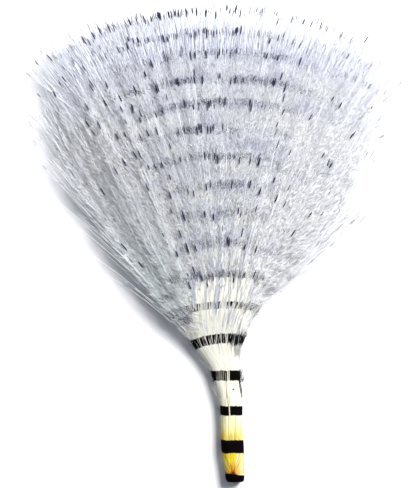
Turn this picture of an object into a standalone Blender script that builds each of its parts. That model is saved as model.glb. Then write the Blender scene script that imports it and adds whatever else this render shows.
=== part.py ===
"""A barred marabou feather lying flat: the gathered butt and the locks of down that fan out from it,
grown as one piece and joined in one solid.

Metres, +Z up. The feather points along +Y and lies on the plane Z = 0, with the origin on that plane
under the middle of its box. Distances named "along" run up the feather from its cut end. A lock is
named by its share of the fan: -1 is the left edge, 0 the middle and 1 the right edge.
"""

import math
import random

import bmesh
import bpy
from mathutils import Matrix, Vector

# Driving dimensions
LENGTH = 0.1203
BUTT_WIDTH = 0.0055
BUTT_THICKNESS = 0.0044
ROOTS_SHARE = 0.8
LOFT = 0.0118
LOFT_OVER = 0.060
LOFT_FALLS_FROM = 0.084
LOFT_AT_TIP = 0.45
LOFT_LOST_AT_SIDE = 0.30
LAYERS = 3
LOCKS_IN_LAYER = 20
SEED = 7

# Where the barbs part from the butt, and how they bend outwards, in degrees from +Y.
# A spread is the bearing per share of the fan, and what the cube of the share adds to it.
LEAN = -5.0
PARTING_LEFT = 0.0180
PARTING_RIGHT = 0.0280
PARTING_OVER = 0.0200
MIDDLE_OF_FAN = 0.050
TOP_OF_FAN = 0.112
SPREADS_LEFT = ((25.0, 14.5), (52.0, -32.0))
SPREADS_RIGHT = ((38.0, 10.0), (90.0, -79.0))

# How much longer or shorter the barbs get towards each side, per share and per its cube
LONGER_LEFT = (0.06, -0.13)
LONGER_RIGHT = (-0.01, -0.06)

# A lock of down: where it starts and opens, its widest section, and its taper
LOCK_FROM = 0.018
LOCK_OPENS_OVER = 0.022
LOCK_STATIONS = 9
LOCK_SIDES = 6
LOCK_HALF_WIDTH = 0.0030
LOCK_HALF_HEIGHT = 0.0019
LOCK_SIZE_AT_ROOT = 0.25
LOCK_SIZE_AT_TIP = 0.09
LOCK_WIDEST_AT = 0.62
LOCK_FULLNESS = 0.8

# How uneven the locks are: share of the length, degrees, and share of the loft
TIP_STAGGER = 0.04
BEARING_STAGGER = 3.0
LEVEL_STAGGER = 0.24
ROOT_LEVELS = 0.0016
LAYER_NARROWER = 0.05

# How far the lowest locks and the butt are pressed flat, as a share of a lock and in metres
SUNK = 0.35
BUTT_SUNK = 0.00015

# The stray locks at the two sides: share of the fan, length, and the turn outwards at the tip
STRAYS = (
    (-1.00, 0.0640, -16.0),
    (-1.00, 0.0820, -14.0),
    (-0.98, 0.1000, -12.0),
    (-0.97, 0.1160, -7.0),
    (1.00, 0.0600, 14.0),
    (1.00, 0.0760, 14.0),
    (1.00, 0.0920, 12.0),
    (0.95, 0.1030, 26.0),
)
STRAY_SIZE = 0.5
STRAY_LEVEL = 0.5

# The butt and the neck above it: along, width and thickness of each section
NECK_SECTIONS = (
    (0.0000, 0.0043, 0.0034),
    (0.0007, 0.0052, 0.0042),
    (0.0030, BUTT_WIDTH, BUTT_THICKNESS),
    (0.0180, BUTT_WIDTH, BUTT_THICKNESS),
    (0.0250, 0.0070, BUTT_THICKNESS),
    (0.0320, 0.0105, 0.0048),
    (0.0390, 0.0150, 0.0048),
    (0.0460, 0.0200, 0.0026),
)
BUTT_SIDES = 16

# The finish
DOWN_COLOUR = (0.79, 0.78, 0.76, 1.0)
DOWN_ROUGHNESS = 0.85
SHARP_ANGLE = 40.0

STEP = 0.0005
WELD = 1e-6
CUTTER_SIZE = 0.3


def smooth(share):
    """A smooth rise from 0 to 1 as share goes from 0 to 1."""
    t = min(1.0, max(0.0, share))
    return t * t * (3 - 2 * t)


def bearing(share, along):
    """The direction of a barb, in degrees from +Y."""
    parting = PARTING_LEFT + (PARTING_RIGHT - PARTING_LEFT) * (share + 1) / 2
    parted = smooth((along - parting) / PARTING_OVER)
    middle, top = SPREADS_LEFT if share < 0 else SPREADS_RIGHT
    rise = min(1.0, max(0.0, (along - MIDDLE_OF_FAN) / (TOP_OF_FAN - MIDDLE_OF_FAN)))
    spread, cubed = (low + (high - low) * rise for low, high in zip(middle, top))
    return LEAN + (share * spread + share**3 * cubed) * parted


def path(share, until, outward=0.0):
    """The points of a barb seen from above, one each STEP along it. Its tip turns outwards."""
    points = [Vector((share * BUTT_WIDTH * ROOTS_SHARE / 2, 0.0))]
    for i in range(math.ceil(until / STEP)):
        along = (i + 0.5) * STEP
        angle = math.radians(bearing(share, along) + outward * (along / until) ** 2)
        points.append(points[-1] + STEP * Vector((math.sin(angle), math.cos(angle))))
    return points


def place(points, along):
    """The point of a path at a distance along it."""
    i = min(len(points) - 2, int(along / STEP))
    return points[i].lerp(points[i + 1], along / STEP - i)


def reach(share):
    """How far along a barb ends."""
    longer, cubed = LONGER_LEFT if share < 0 else LONGER_RIGHT
    return LENGTH * (1 + longer * abs(share) + cubed * abs(share) ** 3)


def loft(share, along):
    """The height of the top of the plume: it swells above the butt, and sinks to the tips and sides."""
    rise = smooth((along - PARTING_LEFT) / LOFT_OVER)
    fall = 1 - (1 - LOFT_AT_TIP) * smooth((along - LOFT_FALLS_FROM) / (LENGTH - LOFT_FALLS_FROM))
    side = 1 - LOFT_LOST_AT_SIDE * share * share
    return BUTT_THICKNESS + (LOFT * side * fall - BUTT_THICKNESS) * rise


def empty_scene():
    """Removes what the file held, and returns new collections for the feather and its helpers."""
    for obj in list(bpy.data.objects):
        bpy.data.objects.remove(obj)
    collections = [bpy.data.collections.new(name) for name in ("marabou_feather", "helpers")]
    for collection in collections:
        bpy.context.scene.collection.children.link(collection)
    return collections


def lock_profile():
    """The oval that a lock is swept with, as a closed flat curve."""
    data = bpy.data.curves.new("lock_profile", "CURVE")
    data.dimensions = "2D"
    spline = data.splines.new("POLY")
    spline.points.add(LOCK_SIDES - 1)
    for i, point in enumerate(spline.points):
        turn = 2 * math.pi * i / LOCK_SIDES
        point.co = (LOCK_HALF_WIDTH * math.cos(turn), LOCK_HALF_HEIGHT * math.sin(turn), 0, 1)
    spline.use_cyclic_u = True
    return bpy.data.objects.new("lock_profile", data)


def meshed(curve):
    """The curve object's mesh with its caps welded, as a new object. The curve is removed."""
    graph = bpy.context.evaluated_depsgraph_get()
    mesh = bpy.data.meshes.new_from_object(curve.evaluated_get(graph))
    bm = bmesh.new()
    bm.from_mesh(mesh)
    bmesh.ops.remove_doubles(bm, verts=bm.verts, dist=WELD)
    bmesh.ops.recalc_face_normals(bm, faces=bm.faces)
    bm.to_mesh(mesh)
    bm.free()
    made = bpy.data.objects.new(curve.name + "_mesh", mesh)
    made.matrix_world = curve.matrix_world
    bpy.data.objects.remove(curve)
    return made


def taper(part):
    """The size of a lock's section, as a share of its widest, part of the way to its tip."""
    if part < LOCK_WIDEST_AT:
        return LOCK_SIZE_AT_ROOT + (1 - LOCK_SIZE_AT_ROOT) * smooth(part / LOCK_WIDEST_AT)
    left = (1 - part) / (1 - LOCK_WIDEST_AT)
    return LOCK_SIZE_AT_TIP + (1 - LOCK_SIZE_AT_TIP) * left**LOCK_FULLNESS


def lock(name, profile, share, level, until, size=1.0, outward=0.0):
    """One tapered lock, from inside the neck to its tip. Level 0 lies lowest and 1 on top."""
    data = bpy.data.curves.new(name, "CURVE")
    data.dimensions = "3D"
    data.twist_mode = "Z_UP"
    data.bevel_mode = "OBJECT"
    data.bevel_object = profile
    data.use_fill_caps = True
    spline = data.splines.new("POLY")
    spline.points.add(LOCK_STATIONS - 1)
    points = path(share, until, outward)
    for i, point in enumerate(spline.points):
        part = i / (LOCK_STATIONS - 1)
        along = LOCK_FROM + (until - LOCK_FROM) * part
        half = LOCK_HALF_HEIGHT * taper(part) * size
        lowest = half * (1 - SUNK)
        highest = loft(share, along) - half
        opened = smooth((along - LOCK_FROM) / LOCK_OPENS_OVER)
        gathered = BUTT_THICKNESS / 2 + ROOT_LEVELS * (level - 0.5)
        height = gathered + (lowest + (highest - lowest) * level - gathered) * opened
        point.co = (*place(points, along), height, 1)
        point.radius = taper(part) * size
    curve = bpy.data.objects.new(name, data)
    bpy.context.scene.collection.objects.link(curve)
    return meshed(curve)


def all_locks():
    """The locks of every layer, their tips, heights and bearings a little uneven, and the strays."""
    uneven = random.Random(SEED)
    profile = lock_profile()
    bpy.context.scene.collection.objects.link(profile)
    locks = []
    for layer in range(LAYERS):
        count = LOCKS_IN_LAYER - layer
        for i in range(count):
            share = (-1 + 2 * i / (count - 1)) * (1 - LAYER_NARROWER * layer)
            level = layer / (LAYERS - 1) + LEVEL_STAGGER * uneven.uniform(-1, 1)
            level = min(1.0, max(0.0, level))
            until = reach(share) * (1 - TIP_STAGGER * uneven.random())
            outward = BEARING_STAGGER * uneven.uniform(-1, 1)
            locks.append(lock(f"lock_{layer}_{i}", profile, share, level, until, 1.0, outward))
    for i, (share, until, outward) in enumerate(STRAYS):
        level = STRAY_LEVEL * (i % 2)
        locks.append(lock(f"stray_{i}", profile, share, level, until, STRAY_SIZE, outward))
    bpy.data.objects.remove(profile)
    return locks


def neck_section(points, along, width, thickness):
    """The matrix that turns a unit circle into a section across the butt or the neck."""
    x, y = place(points, along)
    standing = Matrix.Rotation(math.radians(90), 4, "X")
    turned = Matrix.Rotation(math.radians(-LEAN), 4, "Z")
    size = Matrix.Diagonal((width / 2, thickness / 2, 1, 1))
    return Matrix.Translation((x, y, BUTT_THICKNESS / 2 - BUTT_SUNK)) @ turned @ standing @ size


def butt():
    """The gathered butt and the neck: a capped circle at the cut end, extruded from section to section."""
    points = path(0.0, NECK_SECTIONS[-1][0])
    sections = [neck_section(points, *section) for section in NECK_SECTIONS]
    bm = bmesh.new()
    bmesh.ops.create_circle(bm, cap_ends=True, segments=BUTT_SIDES, radius=1.0)
    bmesh.ops.transform(bm, matrix=sections[0], verts=bm.verts)
    face = bm.faces[:][0]
    for i, (before, after) in enumerate(zip(sections, sections[1:])):
        made = bmesh.ops.extrude_face_region(bm, geom=[face])["geom"]
        if i:
            bmesh.ops.delete(bm, geom=[face], context="FACES_ONLY")
        face = next(item for item in made if isinstance(item, bmesh.types.BMFace))
        bmesh.ops.transform(bm, matrix=after @ before.inverted(), verts=face.verts)
    bmesh.ops.recalc_face_normals(bm, faces=bm.faces)
    mesh = bpy.data.meshes.new("feather")
    bm.to_mesh(mesh)
    bm.free()
    return bpy.data.objects.new("feather", mesh)


def down_material():
    """Matt off-white down."""
    material = bpy.data.materials.new("barred_down")
    material.use_nodes = True
    shader = material.node_tree.nodes["Principled BSDF"]
    shader.inputs["Base Color"].default_value = DOWN_COLOUR
    shader.inputs["Roughness"].default_value = DOWN_ROUGHNESS
    shader.inputs["Metallic"].default_value = 0.0
    return material


def table_cutter():
    """A box under the plane Z = 0, which gives the feather its flat underside."""
    bm = bmesh.new()
    bmesh.ops.create_cube(bm, size=CUTTER_SIZE)
    bmesh.ops.translate(bm, verts=bm.verts, vec=(0, LENGTH / 2, -CUTTER_SIZE / 2))
    mesh = bpy.data.meshes.new("table_cutter")
    bm.to_mesh(mesh)
    bm.free()
    return bpy.data.objects.new("table_cutter", mesh)


def as_helper(obj, collection):
    """Leaves the object out of the model: it only shapes another."""
    obj.hide_render = True
    obj.display_type = "WIRE"
    collection.objects.link(obj)


def shells(bm):
    """The closed shells of a mesh that touch nowhere, each a list of its faces."""
    waiting = set(bm.faces)
    while waiting:
        shell = [waiting.pop()]
        for face in shell:
            nearby = {other for edge in face.edges for other in edge.link_faces} & waiting
            waiting -= nearby
            shell.extend(nearby)
        yield shell


def volume(triangles):
    """The space inside a shell of triangles, which is negative where they face inwards."""
    corners = ([vert.co for vert in face.verts] for face in triangles)
    return sum(a.dot(b.cross(c)) for a, b, c in corners) / 6


def grown_together(feather):
    """The feather's mesh with its Booleans applied, and the sealed pockets between the locks filled."""
    graph = bpy.context.evaluated_depsgraph_get()
    mesh = bpy.data.meshes.new_from_object(feather.evaluated_get(graph))
    bm = bmesh.new()
    bm.from_mesh(mesh)
    bmesh.ops.triangulate(bm, faces=bm.faces)
    for shell in list(shells(bm)):
        if volume(shell) < 0:
            bmesh.ops.delete(bm, geom=shell, context="FACES")
    low = Vector([min(vert.co[i] for vert in bm.verts) for i in range(3)])
    high = Vector([max(vert.co[i] for vert in bm.verts) for i in range(3)])
    middle = (low + high) / 2
    bmesh.ops.translate(bm, verts=bm.verts, vec=(-middle.x, -middle.y, 0))
    bm.to_mesh(mesh)
    bm.free()
    return mesh


def main():
    model, helpers = empty_scene()
    feather = butt()
    model.objects.link(feather)
    strands = bpy.data.collections.new("locks")
    helpers.children.link(strands)
    for obj in all_locks():
        as_helper(obj, strands)
    cutter = table_cutter()
    as_helper(cutter, helpers)

    grown = feather.modifiers.new("locks", "BOOLEAN")
    grown.operation = "UNION"
    grown.operand_type = "COLLECTION"
    grown.collection = strands
    flat = feather.modifiers.new("underside", "BOOLEAN")
    flat.operation = "DIFFERENCE"
    flat.object = cutter
    mesh = grown_together(feather)
    feather.modifiers.clear()
    feather.data = mesh
    mesh.materials.clear()
    mesh.materials.append(down_material())
    mesh.shade_smooth()
    mesh.set_sharp_from_angle(angle=math.radians(SHARP_ANGLE))
    for obj in list(helpers.all_objects):
        bpy.data.objects.remove(obj)


main()
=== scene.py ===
"""The looks of a barred marabou feather lying flat, in twelve pieces: the gathered butt with its bands
and stains, whose smooth ground runs on under the barbs of the neck; the quill line in its top; three
layers of barbs that fan out from it; fine hairs and wisps among their tips; five layers of down all
over the fan; and the near-black tips of single barbs.

Metres, +Z up, the feather pointing along +Y. "Along" is the distance up a barb from the cut end of
the butt. A barb is named by its share of the fan: -1 is the left edge, 0 the middle, 1 the right edge,
and by its level in the plume: 0 lies lowest and 1 on top.
"""

import math

import bpy
import numpy as np
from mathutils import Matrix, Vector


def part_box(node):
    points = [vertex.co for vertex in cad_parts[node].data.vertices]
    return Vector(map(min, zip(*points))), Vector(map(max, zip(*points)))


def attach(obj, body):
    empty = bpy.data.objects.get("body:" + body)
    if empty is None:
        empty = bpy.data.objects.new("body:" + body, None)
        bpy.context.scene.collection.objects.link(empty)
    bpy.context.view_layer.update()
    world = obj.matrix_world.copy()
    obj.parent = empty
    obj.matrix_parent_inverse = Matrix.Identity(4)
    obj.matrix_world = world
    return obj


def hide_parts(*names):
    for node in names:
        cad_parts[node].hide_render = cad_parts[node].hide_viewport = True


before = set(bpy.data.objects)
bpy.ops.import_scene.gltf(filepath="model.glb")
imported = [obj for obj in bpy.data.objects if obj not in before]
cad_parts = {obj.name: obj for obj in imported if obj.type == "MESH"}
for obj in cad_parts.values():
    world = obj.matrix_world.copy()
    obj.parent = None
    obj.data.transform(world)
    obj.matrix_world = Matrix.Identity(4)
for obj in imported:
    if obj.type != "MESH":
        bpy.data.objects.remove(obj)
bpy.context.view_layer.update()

bl_info = {
    "name": "Barred marabou feather",
    "version": (1, 0, 0),
    "blender": (4, 5, 0),
    "location": "View3D > Sidebar > Feather",
    "description": "Builds the butt, barbs and down of a barred marabou feather around its solid",
    "category": "Add Mesh",
}

NODE, BODY, SLOT = "feather", "root", "down"
MM = 0.001
CUT_END_ASIDE = -0.54 * MM  # how far right of the solid's cut end this one lies
CUT_END_DEEP = 0.5 * MM  # how much of the solid's butt counts as its cut end

# The fan: its lean in degrees from +Y; where the barbs of its left and right edge part, over how far;
# and how far they spread, in degrees for the share and for its cube, first in the middle of the fan
LEAN = -5.0
PARTING_LEFT = 22.0 * MM
PARTING_RIGHT = 33.0 * MM
PARTING_OVER = 16.0 * MM
MIDDLE_OF_FAN = 56.0 * MM
TOP_OF_FAN = 112.0 * MM
SPREADS_LEFT = ((22.5, 10.0), (52.0, -27.0))
SPREADS_RIGHT = ((41.0, 13.5), (84.0, -80.0))
LONGER_LEFT = (0.09, -0.13)
LONGER_RIGHT = (0.05, -0.045)

# The ends at the left edge curl back in: by how many degrees, from which share and how far along
CURL_IN = 13.0
CURL_IN_SIDE = (0.62, 0.38)
CURL_IN_ALONG = (78 * MM, 40 * MM)

# Where the strands leave the butt's section, and how deep in it they lie before that
OPENS_FROM = 30.0 * MM
OPENS_OVER = 14.0 * MM
IN_THE_BUTT = 0.84
OUT_OF_THE_NECK = 0.19
NECK_RISES = (34 * MM, 5 * MM)
SECTION_ROUNDED = 0.9

# The height of the plume: where it rises and falls, and what it loses towards the sides, further up
# the fan, at the rim and at the left edge. A pair is where a rise starts and how much it takes.
LOFT_RISES = (18.0 * MM, 60.0 * MM)
LOFT_FALLS_FROM = 84.0 * MM
LOFT_AT_TIP = 0.45
LOFT_LOST_AT_SIDE = 0.12
LOFT_LOST_FURTHER = 0.28
LOFT_LOST_ALONG = (40 * MM, 40 * MM)
LOFT_LOST_AT_RIM = 0.10
LOFT_RIM = (0.74, 0.26)
LOFT_LOST_AT_LEFT = 0.05
LOFT_LEFT = (0.55, 0.45)

# The rolls of the down: their height, how far below the loft they start, how they drift along the fan,
# and each wave across it: strength, radians a share, how much it drifts, radians at the middle
ROLLS = 0.16 * MM
ROLLS_BELOW = 2.3
ROLLS_RISE = (24 * MM, 20 * MM)
ROLLS_DRIFT = 1.7
ROLLS_DRIFT_LONG = 15 * MM
ROLLS_DRIFT_SHARE = 3.0
ROLL_WAVES = ((1.0, 38.0, 1.0, 0.0), (0.8, 71.0, -1.6, 1.0), (0.5, 127.0, 2.3, 2.0))

# The strands' paths: the step in which they are summed, how far right their roots start and where that
# ends, how much of the butt's width the roots take, how many degrees of its own turn carry a strand
# over one share of the fan, and how little of the fan counts as open
STEP = 0.5 * MM
ROOTS_ASIDE = 0.7 * MM
ROOTS_STRAIGHTEN = (18 * MM, 14 * MM)
ROOTS_WIDE = 0.4
TURN_A_SHARE = 33.0
LEAST_OPEN = 0.25

# How far the barbs of the right edge stand out from the rest in the neck: along and aside, in mm
SWELLS = (
    (0.0, 0.3), (18.0, 0.6), (22.0, 0.8), (28.0, 1.0), (33.0, 1.4), (36.0, 2.2), (38.5, 2.7),
    (41.0, 2.9), (44.0, 2.6), (50.0, 1.4), (58.0, 0.4), (70.0, 0.0),
)

# The dark bars: how far each lies from the cut end, in mm, and how often a barb carries it in full
BARS = (
    (1.75, 1.00),
    (8.50, 1.00),
    (18.0, 1.00),
    (26.75, 0.85),
    (36.25, 0.80),
    (44.6, 0.75),
    (52.5, 0.50),
    (60.5, 0.22),
    (68.0, 0.15),
    (74.75, 0.18),
    (82.0, 0.26),
    (88.75, 0.15),
    (95.25, 0.21),
    (101.5, 0.25),
    (107.9, 0.25),
    (113.1, 0.25),
    (119.0, 0.85),
)
BAR_SPACING = 7.0

# Across the neck, from the left edge of the fan to the right, how much more often a barb carries a bar
NECK_BARS = (
    (3, (
        (0.0, 0.6), (0.15, 0.6), (0.19, -0.35), (0.43, -0.45),
        (0.46, 0.1), (0.66, -0.1), (0.69, 0.5), (1.0, 0.5),
    )),
    (4, (
        (0.0, 0.3), (0.25, 0.2), (0.28, -0.15), (0.49, -0.25),
        (0.53, 0.4), (0.68, 0.1), (0.76, 0.3), (1.0, 0.3),
    )),
    (5, (
        (0.0, 0.1), (0.30, 0.0), (0.34, -0.20), (0.50, -0.25),
        (0.60, 0.0), (0.70, 0.1), (0.80, 0.1), (1.0, 0.2),
    )),
)

# The strands' map: its name, the millimetres along that its height stands for, its columns, how much
# of its column a strand takes, how near the ends it goes, and how high the cap of a root is on it
MAP_NAME = "OFBake"
MAP_LENGTH = 121.5
CELLS = 340
MAP_CELL_EDGES = (0.06, 0.94)
MAP_ENDS = (0.004, 0.996)
MAP_CAP = 0.003


def butt_middle():
    """Where the middle of the cut end lies on the plane: x, y."""
    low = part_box(NODE)[0]
    ends = [v.co.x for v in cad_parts[NODE].data.vertices if v.co.y < low.y + CUT_END_DEEP]
    return (min(ends) + max(ends)) / 2 + CUT_END_ASIDE, low.y


class FeatherSizes(bpy.types.PropertyGroup):
    """Sizes of the feather and how much it is made of."""

    length: bpy.props.FloatProperty(
        name="Length", description="From the cut end to the tips of the middle barbs",
        default=0.1203, min=0.05, max=0.3, subtype="DISTANCE", unit="LENGTH",
    )
    butt_width: bpy.props.FloatProperty(
        name="Butt width", description="Width of the gathered butt",
        default=0.0056, min=0.002, max=0.02, subtype="DISTANCE", unit="LENGTH",
    )
    butt_thickness: bpy.props.FloatProperty(
        name="Butt thickness", description="Height of the gathered butt as it lies",
        default=0.0044, min=0.001, max=0.02, subtype="DISTANCE", unit="LENGTH",
    )
    loft: bpy.props.FloatProperty(
        name="Loft", description="Height of the plume where it is fullest",
        default=0.0116, min=0.002, max=0.04, subtype="DISTANCE", unit="LENGTH",
    )
    barbs: bpy.props.IntProperty(
        name="Barbs", description="How many barbs the top layer has",
        default=1250, min=340, max=3000,
    )
    hairs: bpy.props.IntProperty(
        name="Fine hairs", description="How many fine hairs stand among the barbs",
        default=1900, min=100, max=5000,
    )
    down: bpy.props.IntProperty(
        name="Barbules", description="How many barbules a full layer of down has",
        default=53500, min=1000, max=58000,
    )


class FeatherColours(bpy.types.PropertyGroup):
    """Colours of the feather's finish."""

    stem: bpy.props.FloatVectorProperty(
        name="Stem", description="The butt between its bands",
        subtype="COLOR", size=4, min=0, max=1, default=(0.78, 0.765, 0.59, 1.0),
    )
    cream: bpy.props.FloatVectorProperty(
        name="Cream", description="The roots of the barbs",
        subtype="COLOR", size=4, min=0, max=1, default=(0.99, 0.985, 0.92, 1.0),
    )
    grey: bpy.props.FloatVectorProperty(
        name="Cool grey", description="The down of the fan",
        subtype="COLOR", size=4, min=0, max=1, default=(0.93, 0.945, 0.97, 1.0),
    )
    # Painted light in part: on the left side this pale is raised against the shade of its slope
    pale: bpy.props.FloatVectorProperty(
        name="Pale grey", description="The down at the sides of the fan",
        subtype="COLOR", size=4, min=0, max=1, default=(0.988, 0.990, 0.997, 1.0),
    )
    tips: bpy.props.FloatVectorProperty(
        name="Tips", description="The ends of the barbs",
        subtype="COLOR", size=4, min=0, max=1, default=(0.775, 0.805, 0.90, 1.0),
    )
    # Painted shade: this teal grey stands for the shade on the lower left side of the fan
    teal: bpy.props.FloatVectorProperty(
        name="Teal grey", description="The lower left side of the fan",
        subtype="COLOR", size=4, min=0, max=1, default=(0.92, 0.975, 0.97, 1.0),
    )
    # Also the colour of the painted shade in the dull spots between the fan's tufts
    lilac: bpy.props.FloatVectorProperty(
        name="Lilac grey", description="The soft patches of down about the bars",
        subtype="COLOR", size=4, min=0, max=1, default=(0.52, 0.54, 0.69, 1.0),
    )
    hair: bpy.props.FloatVectorProperty(
        name="Fine hairs", description="The fine pale hairs among the barbs",
        subtype="COLOR", size=4, min=0, max=1, default=(0.95, 0.96, 0.98, 1.0),
    )
    bar: bpy.props.FloatVectorProperty(
        name="Bars", description="The dark bars in the fan",
        subtype="COLOR", size=4, min=0, max=1, default=(0.020, 0.021, 0.052, 1.0),
    )
    band: bpy.props.FloatVectorProperty(
        name="Bands", description="The dark bands on the butt",
        subtype="COLOR", size=4, min=0, max=1, default=(0.003, 0.002, 0.002, 1.0),
    )
    gold: bpy.props.FloatVectorProperty(
        name="Gold stain", description="The yellow stain beside the bands of the butt",
        subtype="COLOR", size=4, min=0, max=1, default=(0.67, 0.50, 0.014, 1.0),
    )


class StageSizes(bpy.types.PropertyGroup):
    """The floor, the lights and the camera."""

    floor: bpy.props.FloatProperty(
        name="Floor", description="Side of the square floor",
        default=4.0, min=0.5, max=20.0, subtype="DISTANCE", unit="LENGTH",
    )
    camera_height: bpy.props.FloatProperty(
        name="Camera height", description="How far the camera is above the plume",
        default=0.62, min=0.2, max=3.0, subtype="DISTANCE", unit="LENGTH",
    )
    view_height: bpy.props.FloatProperty(
        name="View height", description="How much of the plane the camera sees along the feather",
        default=0.122, min=0.05, max=1.0, subtype="DISTANCE", unit="LENGTH",
    )


GROUPS = {"feather_sizes": FeatherSizes, "feather_colours": FeatherColours, "stage_sizes": StageSizes}


# The fan as numbers


def smooth(share):
    """A smooth rise from 0 to 1 as share goes from 0 to 1."""
    t = np.clip(share, 0.0, 1.0)
    return t * t * (3 - 2 * t)


def rise(value, start, over):
    """A smooth rise from 0 to 1 as the value goes on from start by that much."""
    return smooth((value - start) / over)


def bearing(share, along):
    """The direction of each barb, in degrees from +Y, at each distance along it."""
    parting = PARTING_LEFT + (PARTING_RIGHT - PARTING_LEFT) * (share + 1) / 2
    parted = rise(along, parting, PARTING_OVER)
    climb = np.clip((along - MIDDLE_OF_FAN) / (TOP_OF_FAN - MIDDLE_OF_FAN), 0, 1)

    def spread(which):
        return np.where(
            share < 0,
            SPREADS_LEFT[0][which] + (SPREADS_LEFT[1][which] - SPREADS_LEFT[0][which]) * climb,
            SPREADS_RIGHT[0][which] + (SPREADS_RIGHT[1][which] - SPREADS_RIGHT[0][which]) * climb,
        )

    edge = rise(-share, *CURL_IN_SIDE) * rise(along, *CURL_IN_ALONG)
    return LEAN + (share * spread(0) + share**3 * spread(1)) * parted + CURL_IN * edge


def reach(share, length):
    """How far along each barb ends."""
    side = np.abs(share)
    left = 1 + LONGER_LEFT[0] * side + LONGER_LEFT[1] * side**3
    right = 1 + LONGER_RIGHT[0] * side + LONGER_RIGHT[1] * side**3
    return length * np.where(share < 0, left, right)


def loft(share, along, sizes):
    """The height of the top of the plume."""
    risen = rise(along, *LOFT_RISES)
    fall = 1 - (1 - LOFT_AT_TIP) * rise(along, LOFT_FALLS_FROM, sizes.length - LOFT_FALLS_FROM)
    lost = LOFT_LOST_AT_SIDE + LOFT_LOST_FURTHER * rise(along, *LOFT_LOST_ALONG)
    side = 1 - lost * share * share - LOFT_LOST_AT_RIM * rise(np.abs(share), *LOFT_RIM)
    side = side - LOFT_LOST_AT_LEFT * rise(-share, *LOFT_LEFT)
    return sizes.butt_thickness + (sizes.loft * side * fall - sizes.butt_thickness) * risen


def rolls(share, along):
    """How far the locks of down rise and sink beside each other."""
    shift = ROLLS_DRIFT * np.sin(along / ROLLS_DRIFT_LONG + ROLLS_DRIFT_SHARE * share)
    waves = sum(
        strength * np.sin(across * share + drifts * shift + start)
        for strength, across, drifts, start in ROLL_WAVES
    )
    return ROLLS * waves * rise(along, *ROLLS_RISE)


def height(share, along, level, half, sizes):
    """The height of a strand of that half thickness: in the butt's section, then between floor and loft."""
    opened = rise(along, OPENS_FROM, OPENS_OVER)
    out = IN_THE_BUTT + OUT_OF_THE_NECK * rise(along, *NECK_RISES)
    across = np.sqrt(np.clip(1 - SECTION_ROUNDED * share**4, 0, 1))
    gathered = sizes.butt_thickness / 2 * (1 + (2 * level - 1) * across * out)
    highest = loft(share, along, sizes) - half + rolls(share, along) - ROLLS_BELOW * ROLLS * opened
    return gathered + (half + (highest - half) * level - gathered) * opened


def lies_over(share, along, until, turn):
    """The share of the fan that each strand lies over, once its own turn has carried it aside."""
    part = along / until[:, None]
    off = turn[0][:, None] * part / 2 + turn[1][:, None] * part * part / 3
    opened = np.clip(1 - OPENS_FROM / np.maximum(along, STEP), LEAST_OPEN, 1)
    return np.clip(share[:, None] + off / (TURN_A_SHARE * opened), -1, 1)


def swell(along):
    """How far the neck stands out on the right at that distance along."""
    at, out = np.array(SWELLS).T
    return np.interp(along / MM, at, out) * MM


def straight(along):
    """The sideways shift of a strand that keeps to its path."""
    return np.zeros_like(along)


def fan_places(share, until, start, parts, turn, sizes, aside=straight):
    """Points on the plane for each strand, and how far along they are.

    share, until, start: one value a strand. parts: shares of the way from start to until.
    turn: (degrees at the tip that grow evenly, degrees that grow with the square).
    aside: a function of the distance along that gives the sideways shift of each strand.
    """
    x0, y0 = butt_middle()
    count = int(math.ceil(float(until.max()) / STEP)) + 2
    middle = (np.arange(count) + 0.5) * STEP
    part = middle[None] / until[:, None]
    angle = bearing(share[:, None], middle[None])
    angle = np.radians(angle + turn[0][:, None] * part + turn[1][:, None] * part * part)
    x = np.concatenate([np.zeros((len(share), 1)), np.cumsum(np.sin(angle) * STEP, 1)], 1)
    y = np.concatenate([np.zeros((len(share), 1)), np.cumsum(np.cos(angle) * STEP, 1)], 1)
    along = start[:, None] + (until - start)[:, None] * parts[None]
    low = np.clip((along / STEP).astype(int), 0, count - 1)
    rest = along / STEP - low
    rows = np.arange(len(share))[:, None]
    angle = np.concatenate([angle, angle[:, -1:]], 1)[rows, low]
    x = x[rows, low] * (1 - rest) + x[rows, low + 1] * rest
    y = y[rows, low] * (1 - rest) + y[rows, low + 1] * rest
    shift = aside(along) + ROOTS_ASIDE * (1 - rise(along, *ROOTS_STRAIGHTEN))
    roots = share[:, None] * sizes.butt_width * ROOTS_WIDE
    roots = roots + np.clip(share, 0, 1)[:, None] * swell(along)
    x = x0 + roots + x + shift * np.cos(angle)
    y = y0 + y - shift * np.sin(angle)
    return x, y, along


# Meshes from arrays


def strand_arrays(centres, half_width, half_height):
    """Closed three-sided strands that taper to a point: points, quads and triangles.

    centres: (strands, stations, 3). The last station is the tip.
    """
    count, stations = centres.shape[:2]
    tangent = np.gradient(centres, axis=1)
    tangent /= np.linalg.norm(tangent, axis=2, keepdims=True) + 1e-12
    side = np.cross(tangent, (0.0, 0.0, 1.0))
    side /= np.linalg.norm(side, axis=2, keepdims=True) + 1e-12
    up = np.cross(side, tangent)
    turns = np.radians((90.0, 210.0, 330.0))
    rings = (
        centres[:, :-1, None]
        + (half_width[:, :-1, None, None] * np.cos(turns)[:, None]) * side[:, :-1, None]
        + (half_height[:, :-1, None, None] * np.sin(turns)[:, None]) * up[:, :-1, None]
    )
    points = np.concatenate([rings.reshape(count, -1, 3), centres[:, -1:]], 1)
    first = np.arange(count)[:, None] * points.shape[1]
    ring = np.arange(stations - 2)[:, None] * 3
    k = np.arange(3)
    after = (k + 1) % 3
    quads = np.stack([ring + k, ring + 3 + k, ring + 3 + after, ring + after], -1).reshape(-1, 4)
    last = (stations - 2) * 3
    tips = np.stack([last + k, np.full(3, last + 3), last + after], -1)
    tris = np.concatenate([tips, [[0, 1, 2]]])
    return (
        points.reshape(-1, 3),
        (first[:, :, None] + quads).reshape(-1, 4),
        (first[:, :, None] + tris).reshape(-1, 3),
    )


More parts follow.
